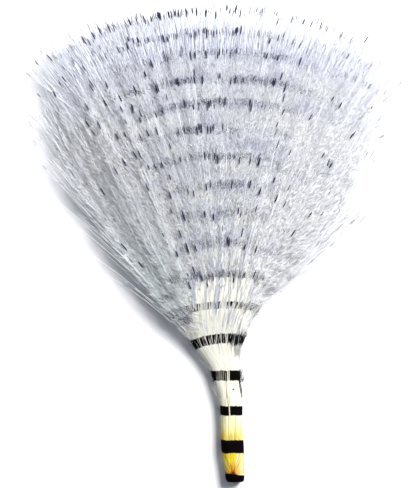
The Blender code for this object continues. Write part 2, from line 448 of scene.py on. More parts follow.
def strand_map(cell, along, stations):
    """Each strand's map: a column of its own cell across, and the distance along upwards."""
    count = len(cell)
    low, high = ((cell + edge) / CELLS for edge in MAP_CELL_EDGES)
    v = np.clip(along / MM / MAP_LENGTH, *MAP_ENDS)
    quad = np.zeros((count, stations - 2, 3, 4, 2))
    tri = np.zeros((count, 4, 3, 2))
    for k in range(3):
        near, far = (low, high) if k % 2 == 0 else (high, low)
        quad[:, :, k, 0, 0] = quad[:, :, k, 1, 0] = near[:, None]
        quad[:, :, k, 2, 0] = quad[:, :, k, 3, 0] = far[:, None]
        tri[:, k, 0, 0], tri[:, k, 1, 0], tri[:, k, 2, 0] = near, (near + far) / 2, far
        tri[:, k, 0, 1] = tri[:, k, 2, 1] = v[:, -2]
        tri[:, k, 1, 1] = v[:, -1]
    quad[:, :, :, 0, 1] = quad[:, :, :, 3, 1] = v[:, :-2, None]
    quad[:, :, :, 1, 1] = quad[:, :, :, 2, 1] = v[:, 1:-1, None]
    tri[:, 3, 0, 0], tri[:, 3, 1, 0], tri[:, 3, 2, 0] = low, high, (low + high) / 2
    tri[:, 3, :2, 1] = v[:, 0, None]
    tri[:, 3, 2, 1] = v[:, 0] + MAP_CAP
    return quad.reshape(-1, 2), tri.reshape(-1, 2)


def strand_object(name, centres, half_width, half_height, cell, along, material):
    """A piece of many strands, with its map and finish."""
    points, quads, tris = strand_arrays(centres, half_width, half_height)
    quad_map, tri_map = strand_map(cell, along, centres.shape[1])
    mesh = bpy.data.meshes.new(name)
    mesh.vertices.add(len(points))
    mesh.vertices.foreach_set("co", points.astype(np.float32).ravel())
    corners = np.concatenate([quads.ravel(), tris.ravel()]).astype(np.int32)
    mesh.loops.add(len(corners))
    mesh.loops.foreach_set("vertex_index", corners)
    starts = np.concatenate(
        [np.arange(len(quads)) * 4, len(quads) * 4 + np.arange(len(tris)) * 3]
    ).astype(np.int32)
    mesh.polygons.add(len(starts))
    mesh.polygons.foreach_set("loop_start", starts)
    mesh.update(calc_edges=True)
    layer = mesh.uv_layers.new(name=MAP_NAME)
    layer.uv.foreach_set("vector", np.concatenate([quad_map, tri_map]).astype(np.float32).ravel())
    mesh.validate()
    mesh.shade_smooth()
    mesh.materials.append(material)
    made = bpy.data.objects.new(name, mesh)
    bpy.context.scene.collection.objects.link(made)
    return made


def belongs(piece):
    """The piece rides on the feather's body and stands for its solid, which is hidden."""
    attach(piece, BODY)
    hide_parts(NODE)
    return piece


# Finishes


class Finish:
    """A material whose nodes are added one call at a time. Each takes sockets or plain values."""

    def __init__(self, name):
        self.material = bpy.data.materials.new(name)
        self.material.use_nodes = True
        self.tree = self.material.node_tree
        self.shader = self.tree.nodes["Principled BSDF"]

    def feed(self, socket, value):
        if isinstance(value, bpy.types.NodeSocket):
            self.tree.links.new(value, socket)
        else:
            socket.default_value = value

    def node(self, kind, **settings):
        made = self.tree.nodes.new(kind)
        for key, value in settings.items():
            setattr(made, key, value)
        return made

    def math(self, operation, *values, clamp=False):
        made = self.node("ShaderNodeMath", operation=operation, use_clamp=clamp)
        for socket, value in zip(made.inputs, values):
            self.feed(socket, value)
        return made.outputs[0]

    def times(self, value, *others):
        for other in others:
            value = self.math("MULTIPLY", value, other)
        return value

    def plus(self, value, *others):
        for other in others:
            value = self.math("ADD", value, other)
        return value

    def minus(self, value, other):
        return self.math("SUBTRACT", value, other)

    def scaled(self, value, by, more):
        """The value times by, plus more."""
        return self.math("MULTIPLY_ADD", value, by, more)

    def off(self, value, at):
        """How far the value lies from at, on either side."""
        return self.math("ABSOLUTE", self.minus(value, at))

    def between(self, value, low, high, to_low=0.0, to_high=1.0, soft=True):
        """The value carried from low..high to to_low..to_high, held at both ends."""
        made = self.node("ShaderNodeMapRange", interpolation_type="SMOOTHSTEP" if soft else "LINEAR")
        for socket, given in zip(made.inputs, (value, low, high, to_low, to_high)):
            self.feed(socket, given)
        return made.outputs[0]

    def mix(self, share, a, b, how="MIX"):
        made = self.node("ShaderNodeMix", data_type="RGBA", blend_type=how)
        for index, given in ((0, share), (6, a), (7, b)):
            self.feed(made.inputs[index], given)
        return made.outputs[2]

    def curve(self, value, points):
        """A line through the points, read at the value."""
        made = self.node("ShaderNodeFloatCurve")
        line = made.mapping.curves[0]
        line.points[0].location, line.points[1].location = points[0], points[-1]
        for place in points[1:-1]:
            line.points.new(*place)
        for point in line.points:
            point.handle_type = "VECTOR"
        made.mapping.update()
        self.feed(made.inputs["Value"], value)
        return made.outputs[0]

    def vector(self, x=0.0, y=0.0, z=0.0):
        made = self.node("ShaderNodeCombineXYZ")
        for socket, given in zip(made.inputs, (x, y, z)):
            self.feed(socket, given)
        return made.outputs[0]

    def parts(self, vector):
        made = self.node("ShaderNodeSeparateXYZ")
        self.feed(made.inputs[0], vector)
        return made.outputs

    def speckle(self, vector):
        """Three random numbers that change with the whole-number parts of the vector."""
        made = self.node("ShaderNodeTexWhiteNoise", noise_dimensions="3D")
        self.feed(made.inputs["Vector"], vector)
        split = self.node("ShaderNodeSeparateColor")
        self.feed(split.inputs[0], made.outputs["Color"])
        return split.outputs

    def noise(self, vector, scale=1.0, detail=2.0):
        made = self.node("ShaderNodeTexNoise", noise_dimensions="3D")
        self.feed(made.inputs["Vector"], vector)
        made.inputs["Scale"].default_value = scale
        made.inputs["Detail"].default_value = detail
        return made.outputs["Fac"]

    def surface(self, colour, roughness, specular=0.5):
        """Feeds the shader and gives the finished material."""
        self.feed(self.shader.inputs["Base Color"], colour)
        self.feed(self.shader.inputs["Roughness"], roughness)
        self.feed(self.shader.inputs["Specular IOR Level"], specular)
        return self.material


# In the shading below, along is in mm and side runs from -1 at the left edge of the fan to 1 at the
# right. A range is where a change starts and ends, and the values there where they aren't 0 and 1. A
# pattern's numbers are how many spots it has from edge to edge and in a millimetre along, and which
# part of the noise it is. Other plain numbers in a vector only choose a part of the noise too.

# How a barb's bars stray from the rest, in mm: with its neighbours', on its own, more so at the sides,
# and all of them further along near the left edge
STRAYS_ALONG = (24.0, 60.0)
STRAYS_TOGETHER, STRAYS_PATTERN = 2.4, 9.0
STRAYS_ALONE, STRAYS_AT_SIDES = 0.45, 3.0
CLIMBS, CLIMBS_SIDE, CLIMBS_ALONG = -2.5, (-0.42, -0.60), (50.0, 76.0)

# Half the length of a bar on a barb, how much it varies, and its soft ends
BAR_HALF = (20.0, 60.0, 1.15, 0.75)
BAR_HALF_VARIES = 0.25
BAR_ENDS = (0.20, 0.15)

# Where the bars gather in patches, where fewer barbs carry them, at both sides and at the upper right,
# and how dark the faintest of them is, with what the upper fan adds to that
PATCHES, PATCHES_FROM_BAR_TO_BAR = 14.0, 3.7
PATCHY = (0.35, 0.62, 0.30, 1.5)
PATCHY_ALONG, PATCHY_NOT_AT_RIM = (30.0, 70.0, 0.2, 1.0), (114.0, 116.0, 1.0, 0.2)
OUTER_MIDDLE, OUTER_SIDE, OUTER_ALONG = -0.02, (0.40, 0.62), (52.0, 70.0)
OUTER_LOW, OUTER_HIGH = 0.15, 0.6
RIGHT_SIDE, RIGHT_ALONG = (0.16, 0.42), (85.0, 95.0, 0.0, 0.6)
LEAST_DARK, DARKER_ABOVE = (39.0, 46.0, 0.95, 0.55), (56.0, 76.0, 0.0, 0.38)
SAME_BAR = 0.3

# The soft lilac about a bar: how far from its middle it goes, and where it is strong
SOFT_GAP, SOFT_PATCH, SOFT_STRENGTH = (0.5, 1.9, 1.0, 0.0), (0.36, 0.62, 0.25, 1.0), 1.6

# Where the cream of the roots gives way to grey: barb by barb, in tufts, and later in the middle
CREEPS, CREEPS_ALONG = 16.0, (27.0, 48.0)
TUFTS, TUFTS_CREEP = (46.0, 0.02, 3.0), (0.25, 0.75, -16.0, 16.0)
CREAM_MIDDLE, CREAM_HIGHER = 0.15, (0.15, 0.6, 6.0, 0.0)
GREYED = (30.0, 56.0)

# Where the fan is pale, where its tips are greyer, and where it is teal. The teal is painted shade on
# the lower left side, and the pale of the left side is painted light in part, against the shade of
# its slope.
PALE_RIGHT, PALE_LEFT, TIPS_ALONG = (0.05, 0.60), (-0.15, -0.55), (92.0, 119.0, 0.0, 0.85)
TEAL_SIDE, TEAL_UNDER, TEAL_OVER, TEAL_STRENGTH = (-0.45, -0.85), (90.0, 50.0), (40.0, 52.0), 0.85

# The mottles: brighter spots, warm low in the fan and cool above, and duller ones, which are painted
# shade between the tufts
MOTTLES, MOTTLED_ALONG = (36.0, 0.17, 5.0), (34.0, 52.0)
MOTTLED_RIGHT, MOTTLED_LEFT = (0.3, 0.75, 1.0, 0.4), (-0.35, -0.70, 1.0, 0.3)
BRIGHT_SPOTS, BRIGHT_STRENGTH = (0.50, 0.66), 0.9
DULL_SPOTS, DULL_STRENGTH = (0.50, 0.36), 0.65
WARM_SPOT, COOL_SPOT, SPOTS_COOL = (0.97, 0.96, 0.86, 1.0), (0.93, 0.94, 0.93, 1.0), (60.0, 95.0)

# How light or dark a barb is beside the next and where that starts, and its streaks, which have so
# many spots a column and a millimetre
SHADE, SHADE_LEAST, SHADE_MOST, SHADE_ALONG = 0.24, 0.86, 1.06, (28.0, 42.0)
STREAKS, STREAKS_SHADE = (0.73, 0.11), (0.3, 0.7, 0.93, 1.07)

# Where the black of the bands turns into the bars' colour, and how rough the down is
BANDS_TO_BARS = (38.0, 60.0)
DOWN_ROUGH, DOWN_ROUGH_VARIES, DOWN_SPECULAR = 0.62, 0.2, 0.03


class StrandFinish(Finish):
    """A finish that is read from the strands' map: across, up, the column, and along in mm."""

    def __init__(self, name, seed):
        super().__init__(name)
        self.across, self.up, _ = self.parts(self.node("ShaderNodeUVMap", uv_map=MAP_NAME).outputs[0])
        self.cell = self.math("FLOOR", self.times(self.across, float(CELLS)))
        self.along = self.times(self.up, MAP_LENGTH)
        self.chance = self.speckle(self.vector(self.cell, float(seed)))

    def pattern(self, across, along, part):
        return self.noise(self.vector(self.times(self.across, across), self.times(self.along, along), part))


def bar_drift(f, side, pair):
    """How far a barb's bars are out of line with the rest, in mm."""
    out = f.between(f.along, *STRAYS_ALONG)
    own = f.scaled(f.speckle(f.vector(pair, 3.0, 11.0))[0], 2.0, -1.0)
    loose = f.scaled(f.times(side, side), STRAYS_AT_SIDES, STRAYS_ALONE)
    waves = f.noise(f.vector(f.times(f.across, STRAYS_PATTERN), 0.5), detail=1.0)
    waves = f.times(f.minus(waves, 0.5), STRAYS_TOGETHER)
    climbs = f.times(f.between(side, *CLIMBS_SIDE), f.between(f.along, *CLIMBS_ALONG), CLIMBS)
    return f.plus(f.times(own, loose, out), f.times(waves, out), climbs)


def bar_often(f, side, which, patch, crisp, inward):
    """How often a barb carries this bar."""
    top = float(len(BARS))
    chances = [(i / top, often) for i, (_, often) in enumerate(BARS)] + [(1.0, 0.5)]
    often = f.curve(f.math("DIVIDE", which, top), chances)
    patchy = f.minus(f.between(patch, *PATCHY, soft=False), 1.0)
    uneven = f.times(f.between(f.along, *PATCHY_ALONG), f.between(f.along, *PATCHY_NOT_AT_RIM))
    outer = f.between(f.along, *OUTER_ALONG, OUTER_LOW * inward, OUTER_HIGH * inward)
    outer = f.times(f.between(f.off(side, OUTER_MIDDLE), *OUTER_SIDE), outer)
    right = f.times(f.between(side, *RIGHT_SIDE), f.between(f.along, *RIGHT_ALONG))
    often = f.times(often, f.scaled(patchy, uneven, 1.0), f.minus(1.0, outer), f.minus(1.0, right), crisp)
    for bar_number, amounts in NECK_BARS:
        this = f.math("COMPARE", which, float(bar_number), SAME_BAR)
        often = f.plus(often, f.times(this, f.curve(f.across, amounts)))
    return often


def bars(f, side, crisp, halo, inward):
    """How dark the bars are, and how strong the soft lilac about them is."""
    top = float(len(BARS))
    pair = f.math("FLOOR", f.times(f.cell, 0.5))
    line = [(0.0, 0.0)] + [(at / MAP_LENGTH, (i + 0.5) / top) for i, (at, _) in enumerate(BARS)]
    at = f.math("DIVIDE", f.plus(f.along, bar_drift(f, side, pair)), MAP_LENGTH)
    phase = f.scaled(f.curve(at, line + [(1.0, 1.0)]), top, -0.5)
    which = f.math("ROUND", phase)
    gap = f.times(f.off(phase, which), BAR_SPACING)
    half = f.scaled(f.chance[1], BAR_HALF_VARIES, f.between(f.along, *BAR_HALF))
    bar = f.between(gap, f.minus(half, BAR_ENDS[0]), f.plus(half, BAR_ENDS[1]), 1.0, 0.0)
    patch = f.vector(f.times(f.across, PATCHES), f.times(which, PATCHES_FROM_BAR_TO_BAR))
    patch = f.noise(patch, detail=1.0)
    often = bar_often(f, side, which, patch, crisp, inward)
    luck = f.speckle(f.vector(pair, which, 7.0))
    least = f.plus(f.between(f.along, *LEAST_DARK), f.between(f.along, *DARKER_ABOVE))
    strength = f.scaled(luck[1], f.minus(1.0, least), least)
    bar = f.times(bar, f.times(f.math("LESS_THAN", luck[0], often), strength))
    soft = f.times(f.between(gap, *SOFT_GAP), f.between(patch, *SOFT_PATCH))
    soft = f.math("MULTIPLY", soft, f.times(often, halo * SOFT_STRENGTH), clamp=True)
    return bar, soft


def fan_ground(f, side, colours, paler_against_shade):
    """The fan between its bars: cream at the roots, cool grey above, pale and teal at the sides. Painted
    light and shade are in it: a paler ground in the lower layers and on the left, teal shade at the
    lower left, and dull lilac spots of shade between the tufts.
    """
    creeps = f.scaled(f.chance[1], CREEPS, -CREEPS / 2)
    creeps = f.plus(creeps, f.between(f.pattern(*TUFTS), *TUFTS_CREEP, soft=False))
    creeps = f.times(creeps, f.between(f.along, *CREEPS_ALONG))
    higher = f.between(f.off(side, CREAM_MIDDLE), *CREAM_HIGHER)
    greyed = f.between(f.minus(f.plus(f.along, creeps), higher), *GREYED)
    fan = f.mix(f.between(side, *PALE_RIGHT), colours.grey, colours.pale)
    # Painted light in part: the left side is paler, against the shade of its slope, which faces away from
    # the key
    fan = f.mix(f.between(side, *PALE_LEFT), fan, colours.pale)
    fan = f.mix(f.between(f.along, *TIPS_ALONG), fan, colours.tips)
    # Painted light: the ground of the lower layers is paler, to make up for the shade they lie in
    ground = f.mix(paler_against_shade, f.mix(greyed, colours.cream, fan), colours.hair)
    # Painted shade: the teal grey of the lower left side stands for the shade it lies in
    teal = f.times(
        f.between(side, *TEAL_SIDE), f.between(f.along, *TEAL_UNDER), f.between(f.along, *TEAL_OVER)
    )
    ground = f.mix(f.times(teal, TEAL_STRENGTH), ground, colours.teal)
    mottle = f.pattern(*MOTTLES)
    mottled = f.times(
        f.between(f.along, *MOTTLED_ALONG), f.between(side, *MOTTLED_RIGHT), f.between(side, *MOTTLED_LEFT)
    )
    bright = f.times(f.between(mottle, *BRIGHT_SPOTS), f.times(mottled, BRIGHT_STRENGTH))
    ground = f.mix(bright, ground, f.mix(f.between(f.along, *SPOTS_COOL), WARM_SPOT, COOL_SPOT))
    # Painted shade: the dull spots take on the lilac of the shade between the tufts
    dull = f.times(f.between(mottle, *DULL_SPOTS), f.times(mottled, DULL_STRENGTH))
    return f.mix(dull, ground, colours.lilac)


def barb_shade(f, seed):
    """How light a barb is beside the next one, with streaks along it."""
    streak = f.noise(f.vector(f.times(f.cell, STREAKS[0]), f.times(f.along, STREAKS[1]), seed))
    shade = f.scaled(f.chance[2], SHADE, SHADE_LEAST)
    shade = f.times(shade, f.between(streak, *STREAKS_SHADE, soft=False))
    shade = f.minus(f.math("MINIMUM", shade, SHADE_MOST), 1.0)
    shade = f.scaled(shade, f.between(f.along, *SHADE_ALONG), 1.0)
    return f.vector(shade, shade, shade)


def barb_finish(name, seed, colours, crisp=1.0, halo=0.35, paler_against_shade=0.0, inward=1.0):
    """Barred down. The map's column picks a barb's own chances, and its height the bars it crosses.

    crisp is how often its bars are full, halo how strong the soft lilac about them is, lighter how
    much of the ground is as pale as the fine hairs (painted light, which makes up for the shade the
    strand lies in), and inward how far the bars keep to the middle.
    """
    f = StrandFinish(name, seed)
    side = f.scaled(f.cell, 2.0 / CELLS, 1.0 / CELLS - 1.0)
    bar, soft = bars(f, side, crisp, halo, inward)
    ground = f.mix(soft, fan_ground(f, side, colours, paler_against_shade), colours.lilac)
    ground = f.mix(1.0, ground, barb_shade(f, seed), "MULTIPLY")
    dark = f.mix(f.between(f.along, *BANDS_TO_BARS), colours.band, colours.bar)
    rough = f.scaled(f.chance[1], DOWN_ROUGH_VARIES, DOWN_ROUGH)
    return f.surface(f.mix(bar, ground, dark), rough, DOWN_SPECULAR)


# The butt's fibres and the raggedness they give its bands, in mm. Across, a place is in mm from the
# middle of the cut end, set straight by so much a millimetre along.
LEANS_ACROSS = 0.05
FIBRES_DRAWN, FIBRES, BROAD_FIBRES = 0.05, 5200.0, 1500.0
STRANDS_DRAWN, STRANDS, STRIPES, WOBBLE = 0.03, 2700.0, 2200.0, 900.0
RAGGED_BY_FIBRES, RAGGED_BY_WOBBLE = 0.5, 0.6
FIBRES_BUMP, FIBRES_HIGH, BUTT_ROUGH, BUTT_SPECULAR = 0.5, 0.06 * MM, (0.3, 0.7, 0.55, 0.75), 0.01

# The neck's threads and locks, with spots from side to side, and where they are grey: painted shade
# between the barbs that the neck's smooth ground stands for. Its length, its width and its middle's
# place are held in curves as shares of the first three, in mm.
NECK_LONG, NECK_WIDE, NECK_ASIDE = 70.0, 30.0, 10.0
THREADS, LOCKS = (24.0, 0.16, 2.0), (7.0, 0.07, 6.0)
GREY_THREADS, GREY_THREADS_ALONG = (0.46, 0.62), (34.0, 48.0, 0.35, 0.85)
GREY_LOCKS, GREY_LOCKS_ALONG = (0.50, 0.64), (34.0, 48.0, 0.1, 0.6)
NECK_STARTS = (23.0, 30.0)

# The foot of the lower stain, how far it is drawn out along, its rays and its fine rays; the dark
# speck; the black line down the right edge; and how worn the threads of the upper bands are
FOOT_ACROSS, FOOT_ALONG, FOOT_DRAWN = 0.35, 1.4, 0.30
RAYS, FINE_RAYS = (7.0, 0.25, 4.0), (15.0, 0.20, 9.0)
SPECK_ACROSS, SPECK_ALONG = 0.80, 23.4
EDGE_LINE = (22.1, 26.1, 2.85, 2.40)
WORN_ALONG, WORN_EDGE = (38.0, 43.0, 0.52, 0.43), 0.06

# Stretches that several colours share, each a pattern's name and its range
LOWER_STAIN = (("along", 1.9, 2.3), ("along", 8.2, 7.6))
PALER_RIGHT = ("across", -0.4, 2.2, 1.0, 0.5)
TINGED = (("along", 10.0, 10.6), ("ragged", 17.6, 12.0))
UPPER_STAIN = (
    ("along", 10.3, 10.6), ("ragged", 14.6, 11.0), ("across", 0.4, 2.4, 1.0, 0.25),
    ("broad", 0.35, 0.6, 0.35, 1.0),
)
FOURTH_BAND = (("along", 23.0, 24.0), ("along", 31.0, 30.0))

# The butt's colours, laid over the stem's in this order: the colour, or the name of one of the
# feather's own, how strong it is, and the patterns and ranges that let it through
BUTT_LAYERS = (
    # Old ivory in the broad fibres, paler ivory above the third band, and painted shade: duller under the
    # neck's barbs
    ((0.72, 0.68, 0.46, 1.0), 1.0, ("broad", 0.35, 0.65)),
    ((0.80, 0.79, 0.66, 1.0), 0.75, ("along", 16.0, 21.0)),
    ((0.74, 0.73, 0.62, 1.0), 0.9, ("along", 22.0, 30.0)),
    # Painted shade: grey between the barbs of the neck; and yellow between them
    ((0.34, 0.35, 0.42, 1.0), 1.0, ("shade_between_barbs",)),
    ((0.56, 0.50, 0.30, 1.0), 0.6, ("threads", 0.44, 0.34), ("along", 44.0, 34.0), ("along", 23.0, 30.0)),
    # Tan fibres, olive strands, two brown lines and a dark speck
    ((0.55, 0.47, 0.30, 1.0), 0.35, ("fibres", 0.55, 0.75)),
    ((0.44, 0.40, 0.26, 1.0), 0.55, ("strands", 0.50, 0.62), ("along", 30.0, 24.0)),
    ((0.30, 0.17, 0.06, 1.0), 0.6, ("across", -1.08, -1.00), ("across", -0.82, -0.90),
     ("along", 20.9, 21.3), ("along", 26.4, 26.0)),
    ((0.30, 0.17, 0.06, 1.0), 0.6, ("across", -0.45, -0.37), ("across", -0.21, -0.29),
     ("along", 19.6, 20.0), ("along", 22.1, 21.7)),
    ("band", 1.0, ("speck", 0.34, 0.22)),
    # The stain between the cap and the second band: gold rays, amber, brown streaks and a red heart
    ("gold", 1.0, ("rays", 0.30, 0.56, 0.5, 1.0), PALER_RIGHT, *LOWER_STAIN),
    ((0.62, 0.24, 0.012, 1.0), 0.8, ("far", 2.6, 0.9), PALER_RIGHT, *LOWER_STAIN),
    ((0.16, 0.055, 0.008, 1.0), 0.85, ("fine rays", 0.53, 0.61), ("far", 3.6, 1.2, 0.3, 1.0), *LOWER_STAIN),
    ((0.10, 0.014, 0.004, 1.0), 1.0, ("far", 1.15, 0.55), *LOWER_STAIN),
    # The stain above the second band: a tinge, gold, its umber foot, and ochre drawn up the strands
    ((0.80, 0.76, 0.22, 1.0), 0.60, *TINGED),
    ("gold", 1.0, *UPPER_STAIN),
    ((0.30, 0.17, 0.012, 1.0), 0.9, ("along", 13.2, 11.0), ("fibres", 0.38, 0.54), *UPPER_STAIN),
    ((0.36, 0.25, 0.03, 1.0), 0.6, ("strands", 0.50, 0.60), *TINGED),
)

# The butt's bands: how far along and half their width in mm, their soft edge, how the cap leans, and
# how they bend with the fan above the parting
BUTT_BANDS = (
    (0.0, 2.15), (9.05, 1.65), (18.05, 1.2), (26.9, 1.3), (36.3, 1.2), (44.7, 0.9), (52.5, 0.9),
)
BAND_EDGE, CAP_LEANS = 0.10, 0.12
BENDS_ABOVE, BENDS_ACROSS, BENDS_ALONG = 24.6, 0.5, (27.0, 32.0)

# Where the bands are broken: stripes and rust in the fourth, worn threads in those above it; the split
# along the quill line; and the black line down the right edge between the third and the fourth
BREAKS = (
    (("across", -1.6, -1.3), ("across", 0.5, 0.3), ("stripes", 0.52, 0.56), *FOURTH_BAND),
    (("across", -3.5, -3.2), ("across", -1.3, -1.6), ("fibres", 0.35, 0.6, 0.05, 0.30), *FOURTH_BAND),
    (("worn",), ("off middle", 0.95, 0.6), ("along", 30.0, 31.0)),
)
BREAKS_STRENGTH = 0.85
SPLIT, SPLIT_STRENGTH = (("across", -0.63, -0.53), ("across", -0.27, -0.37), ("along", 14.0, 16.0)), 0.8
BLACK_LINE = (("edge line", 0.38, 0.22), ("along", 20.6, 21.8), ("along", 26.6, 26.0))
BLACK_LINE_STRENGTH = 0.95


def butt_patterns(f):
    """What the butt's colours and bands depend on, by name. Places are in mm."""
    x0, y0 = butt_middle()
    x, y, z = f.parts(f.node("ShaderNodeTexCoord").outputs["Object"])
    along, aside = f.times(f.minus(y, y0), 1 / MM), f.times(f.minus(x, x0), 1 / MM)
    across = f.scaled(along, LEANS_ACROSS, aside)

    def pattern(value, spots, drawn, part, detail=2.0):
        return f.noise(f.vector(f.times(value, spots), f.times(along, drawn), part), detail=detail)

    drawn = f.vector(x, f.times(y, FIBRES_DRAWN), z)
    fibres = f.noise(drawn, FIBRES)
    ragged = f.plus(
        along,
        f.scaled(fibres, RAGGED_BY_FIBRES, -RAGGED_BY_FIBRES / 2),
        f.scaled(f.noise(f.vector(x, 0.3, 0.2), WOBBLE, 1.0), RAGGED_BY_WOBBLE, -RAGGED_BY_WOBBLE / 2),
    )

    # The spot is -1 at the neck's left side and 1 at its right side
    up = f.math("DIVIDE", along, NECK_LONG)
    middle = f.curve(up, [(a / NECK_LONG, -c / NECK_ASIDE) for a, c, *_ in NECK_SECTIONS])
    wide = f.curve(up, [(a / NECK_LONG, w / NECK_WIDE) for a, _, w, *_ in NECK_SECTIONS])
    spot = f.math("DIVIDE", f.plus(aside, f.times(middle, NECK_ASIDE)), f.times(wide, NECK_WIDE / 2))
    threads = pattern(spot, *THREADS)
    in_threads = f.times(f.between(threads, *GREY_THREADS), f.between(along, *GREY_THREADS_ALONG))
    in_locks = f.times(f.between(pattern(spot, *LOCKS), *GREY_LOCKS), f.between(along, *GREY_LOCKS_ALONG))
    # Painted shade: grey in the threads and locks between the barbs of the neck
    shade_between_barbs = f.math("MULTIPLY", f.plus(in_threads, in_locks), f.between(along, *NECK_STARTS), clamp=True)
    worn = f.between(along, *WORN_ALONG)

    foot_across, foot_along = f.plus(across, FOOT_ACROSS), f.minus(along, FOOT_ALONG)
    fan_out = f.math("ARCTAN2", foot_across, foot_along)
    far = f.plus(f.times(foot_across, foot_across), f.times(foot_along, foot_along, FOOT_DRAWN))
    return {
        "along": along,
        "across": across,
        "ragged": ragged,
        "fibres": fibres,
        "broad": f.noise(drawn, BROAD_FIBRES),
        "strands": f.noise(f.vector(x, f.times(y, STRANDS_DRAWN), 0.4), STRANDS),
        "stripes": f.noise(f.vector(x, 0.7, 0.1), STRIPES, 1.0),
        "threads": threads,
        "shade_between_barbs": shade_between_barbs,
        "worn": f.between(threads, worn, f.plus(worn, WORN_EDGE)),
        "off middle": f.math("ABSOLUTE", spot),
        "rays": pattern(fan_out, *RAYS),
        "fine rays": pattern(fan_out, *FINE_RAYS, detail=1.0),
        "far": f.math("SQRT", far),
        "speck": f.plus(f.off(across, SPECK_ACROSS), f.off(along, SPECK_ALONG)),
        "edge line": f.off(across, f.between(along, *EDGE_LINE, soft=False)),
    }


def through(f, patterns, ranges):
    """How much the ranges let through together. A pattern without one counts as it is."""
    return f.times(*(
        f.between(patterns[name], *stretch) if stretch else patterns[name] for name, *stretch in ranges
    ))


def butt_bands(f, patterns):
    """How dark the bands and the black line are."""
    along, across = patterns["along"], patterns["across"]
    above = f.minus(along, BENDS_ABOVE)
    bent = f.math("SQRT", f.plus(f.times(above, above), f.times(across, across, BENDS_ACROSS)))
    bent = f.times(f.minus(bent, above), f.between(along, *BENDS_ALONG))
    ragged = f.plus(patterns["ragged"], bent)
    bands = 0.0
    for at, half in BUTT_BANDS:
        edge = ragged if at else f.plus(ragged, f.times(across, CAP_LEANS))
        bands = f.math("MAXIMUM", bands, f.between(f.off(edge, at), half + BAND_EDGE, half - BAND_EDGE))
    broken = 0.0
    for ranges in BREAKS:
        broken = f.math("MAXIMUM", broken, through(f, patterns, ranges))
    split = through(f, patterns, SPLIT)
    for amount, strength in ((broken, BREAKS_STRENGTH), (split, SPLIT_STRENGTH)):
        bands = f.times(bands, f.minus(1.0, f.times(amount, strength)))
    return f.math("MAXIMUM", bands, f.times(through(f, patterns, BLACK_LINE), BLACK_LINE_STRENGTH))


def butt_finish(colours):
    """The gathered butt: cream fibres, dark bands, a gold stain with a red-brown heart, and painted shade
    under and between the barbs of the neck.
    """
    f = Finish("banded_butt")
    patterns = butt_patterns(f)
    colour = colours.stem
    for laid, strength, *ranges in BUTT_LAYERS:
        laid = getattr(colours, laid) if isinstance(laid, str) else laid
        colour = f.mix(f.times(through(f, patterns, ranges), strength), colour, laid)
    bump = f.node("ShaderNodeBump")
    bump.inputs["Strength"].default_value = FIBRES_BUMP
    bump.inputs["Distance"].default_value = FIBRES_HIGH
    f.feed(bump.inputs["Height"], patterns["fibres"])
    f.feed(f.shader.inputs["Normal"], bump.outputs[0])
    rough = f.between(patterns["fibres"], *BUTT_ROUGH, soft=False)
    return f.surface(f.mix(butt_bands(f, patterns), colour, colours.band), rough, BUTT_SPECULAR)


HORN_DARK, HORN_PALE = (0.34, 0.22, 0.09, 1.0), (0.70, 0.60, 0.36, 1.0)


def horn_finish():
    """Brown horn of the quill line, streaked along its length."""
    f = Finish("quill_horn")
    x, y, z = f.parts(f.node("ShaderNodeTexCoord").outputs["Object"])
    streaks = f.noise(f.vector(x, f.times(y, 0.2), z), 2600.0)
    colour = f.mix(f.between(streaks, 0.35, 0.65), HORN_DARK, HORN_PALE)
    return f.surface(colour, f.between(streaks, 0.3, 0.7, 0.35, 0.5, soft=False))


PAPER_DARK, PAPER_PALE = (0.90, 0.90, 0.905, 1.0), (0.92, 0.92, 0.925, 1.0)


def floor_finish():
    """Plain matt white paper."""
    f = Finish("white_floor")
    grain = f.noise(f.node("ShaderNodeTexCoord").outputs["Object"], 900.0)
    return f.surface(f.mix(grain, PAPER_DARK, PAPER_PALE), 0.9, 0.1)


# The pieces

# The butt, the neck and the smooth ground under the neck's barbs, in mm: along, how far right of the
# cut end's middle, width, thickness, height of the middle
BUTT_SECTIONS = (
    (0.00, 0.10, 3.3, 2.6, 2.15),
    (0.12, 0.10, 4.0, 3.3, 2.15),
    (0.45, 0.07, 4.6, 3.9, 2.15),
    (1.10, 0.03, 4.9, 4.15, 2.15),
    (3.30, -0.10, 5.00, 4.2, 2.15),
    (6.90, -0.42, 5.45, 4.25, 2.16),
    (7.50, -0.52, 5.80, 4.35, 2.20),
    (10.6, -0.68, 5.85, 4.38, 2.20),
    (11.2, -0.72, 5.55, 4.3, 2.18),
    (16.5, -0.84, 5.60, 4.3, 2.18),
    (19.3, -0.90, 5.72, 4.35, 2.18),
    (22.5, -1.08, 6.10, 4.4, 2.20),
    (25.5, -1.95, 6.95, 4.3, 2.20),
    (28.4, -2.40, 7.25, 4.5, 2.30),
    (31.0, -3.40, 8.90, 4.5, 2.32),
    (33.4, -4.30, 11.3, 4.6, 2.50),
    (35.9, -4.75, 13.9, 4.9, 2.75),
    (38.4, -4.85, 15.8, 5.2, 3.18),
    (41.5, -4.70, 18.5, 5.8, 3.80),
    (45.0, -4.30, 21.5, 6.0, 4.45),
    (49.0, -3.80, 24.5, 5.6, 5.30),
    (53.0, -3.50, 25.0, 4.4, 6.25),
    (57.0, -3.60, 23.0, 2.8, 7.35),
    (61.0, -3.70, 20.0, 1.4, 8.30),
    (65.0, -3.80, 17.0, 0.5, 8.70),
)
NECK_FROM = 25.0
NECK_SECTIONS = tuple(section for section in BUTT_SECTIONS if section[0] > NECK_FROM)
BUTT_SIDES = 56
BUTT_SEED = 3
SQUARED = 0.72  # the power that makes the butt's round sections squarer: 1 leaves them round
FLUTES = (0.955, 0.995)  # how deep the flutes between the fibres go, as shares of the half width
SAME_RING = 0.01 * MM


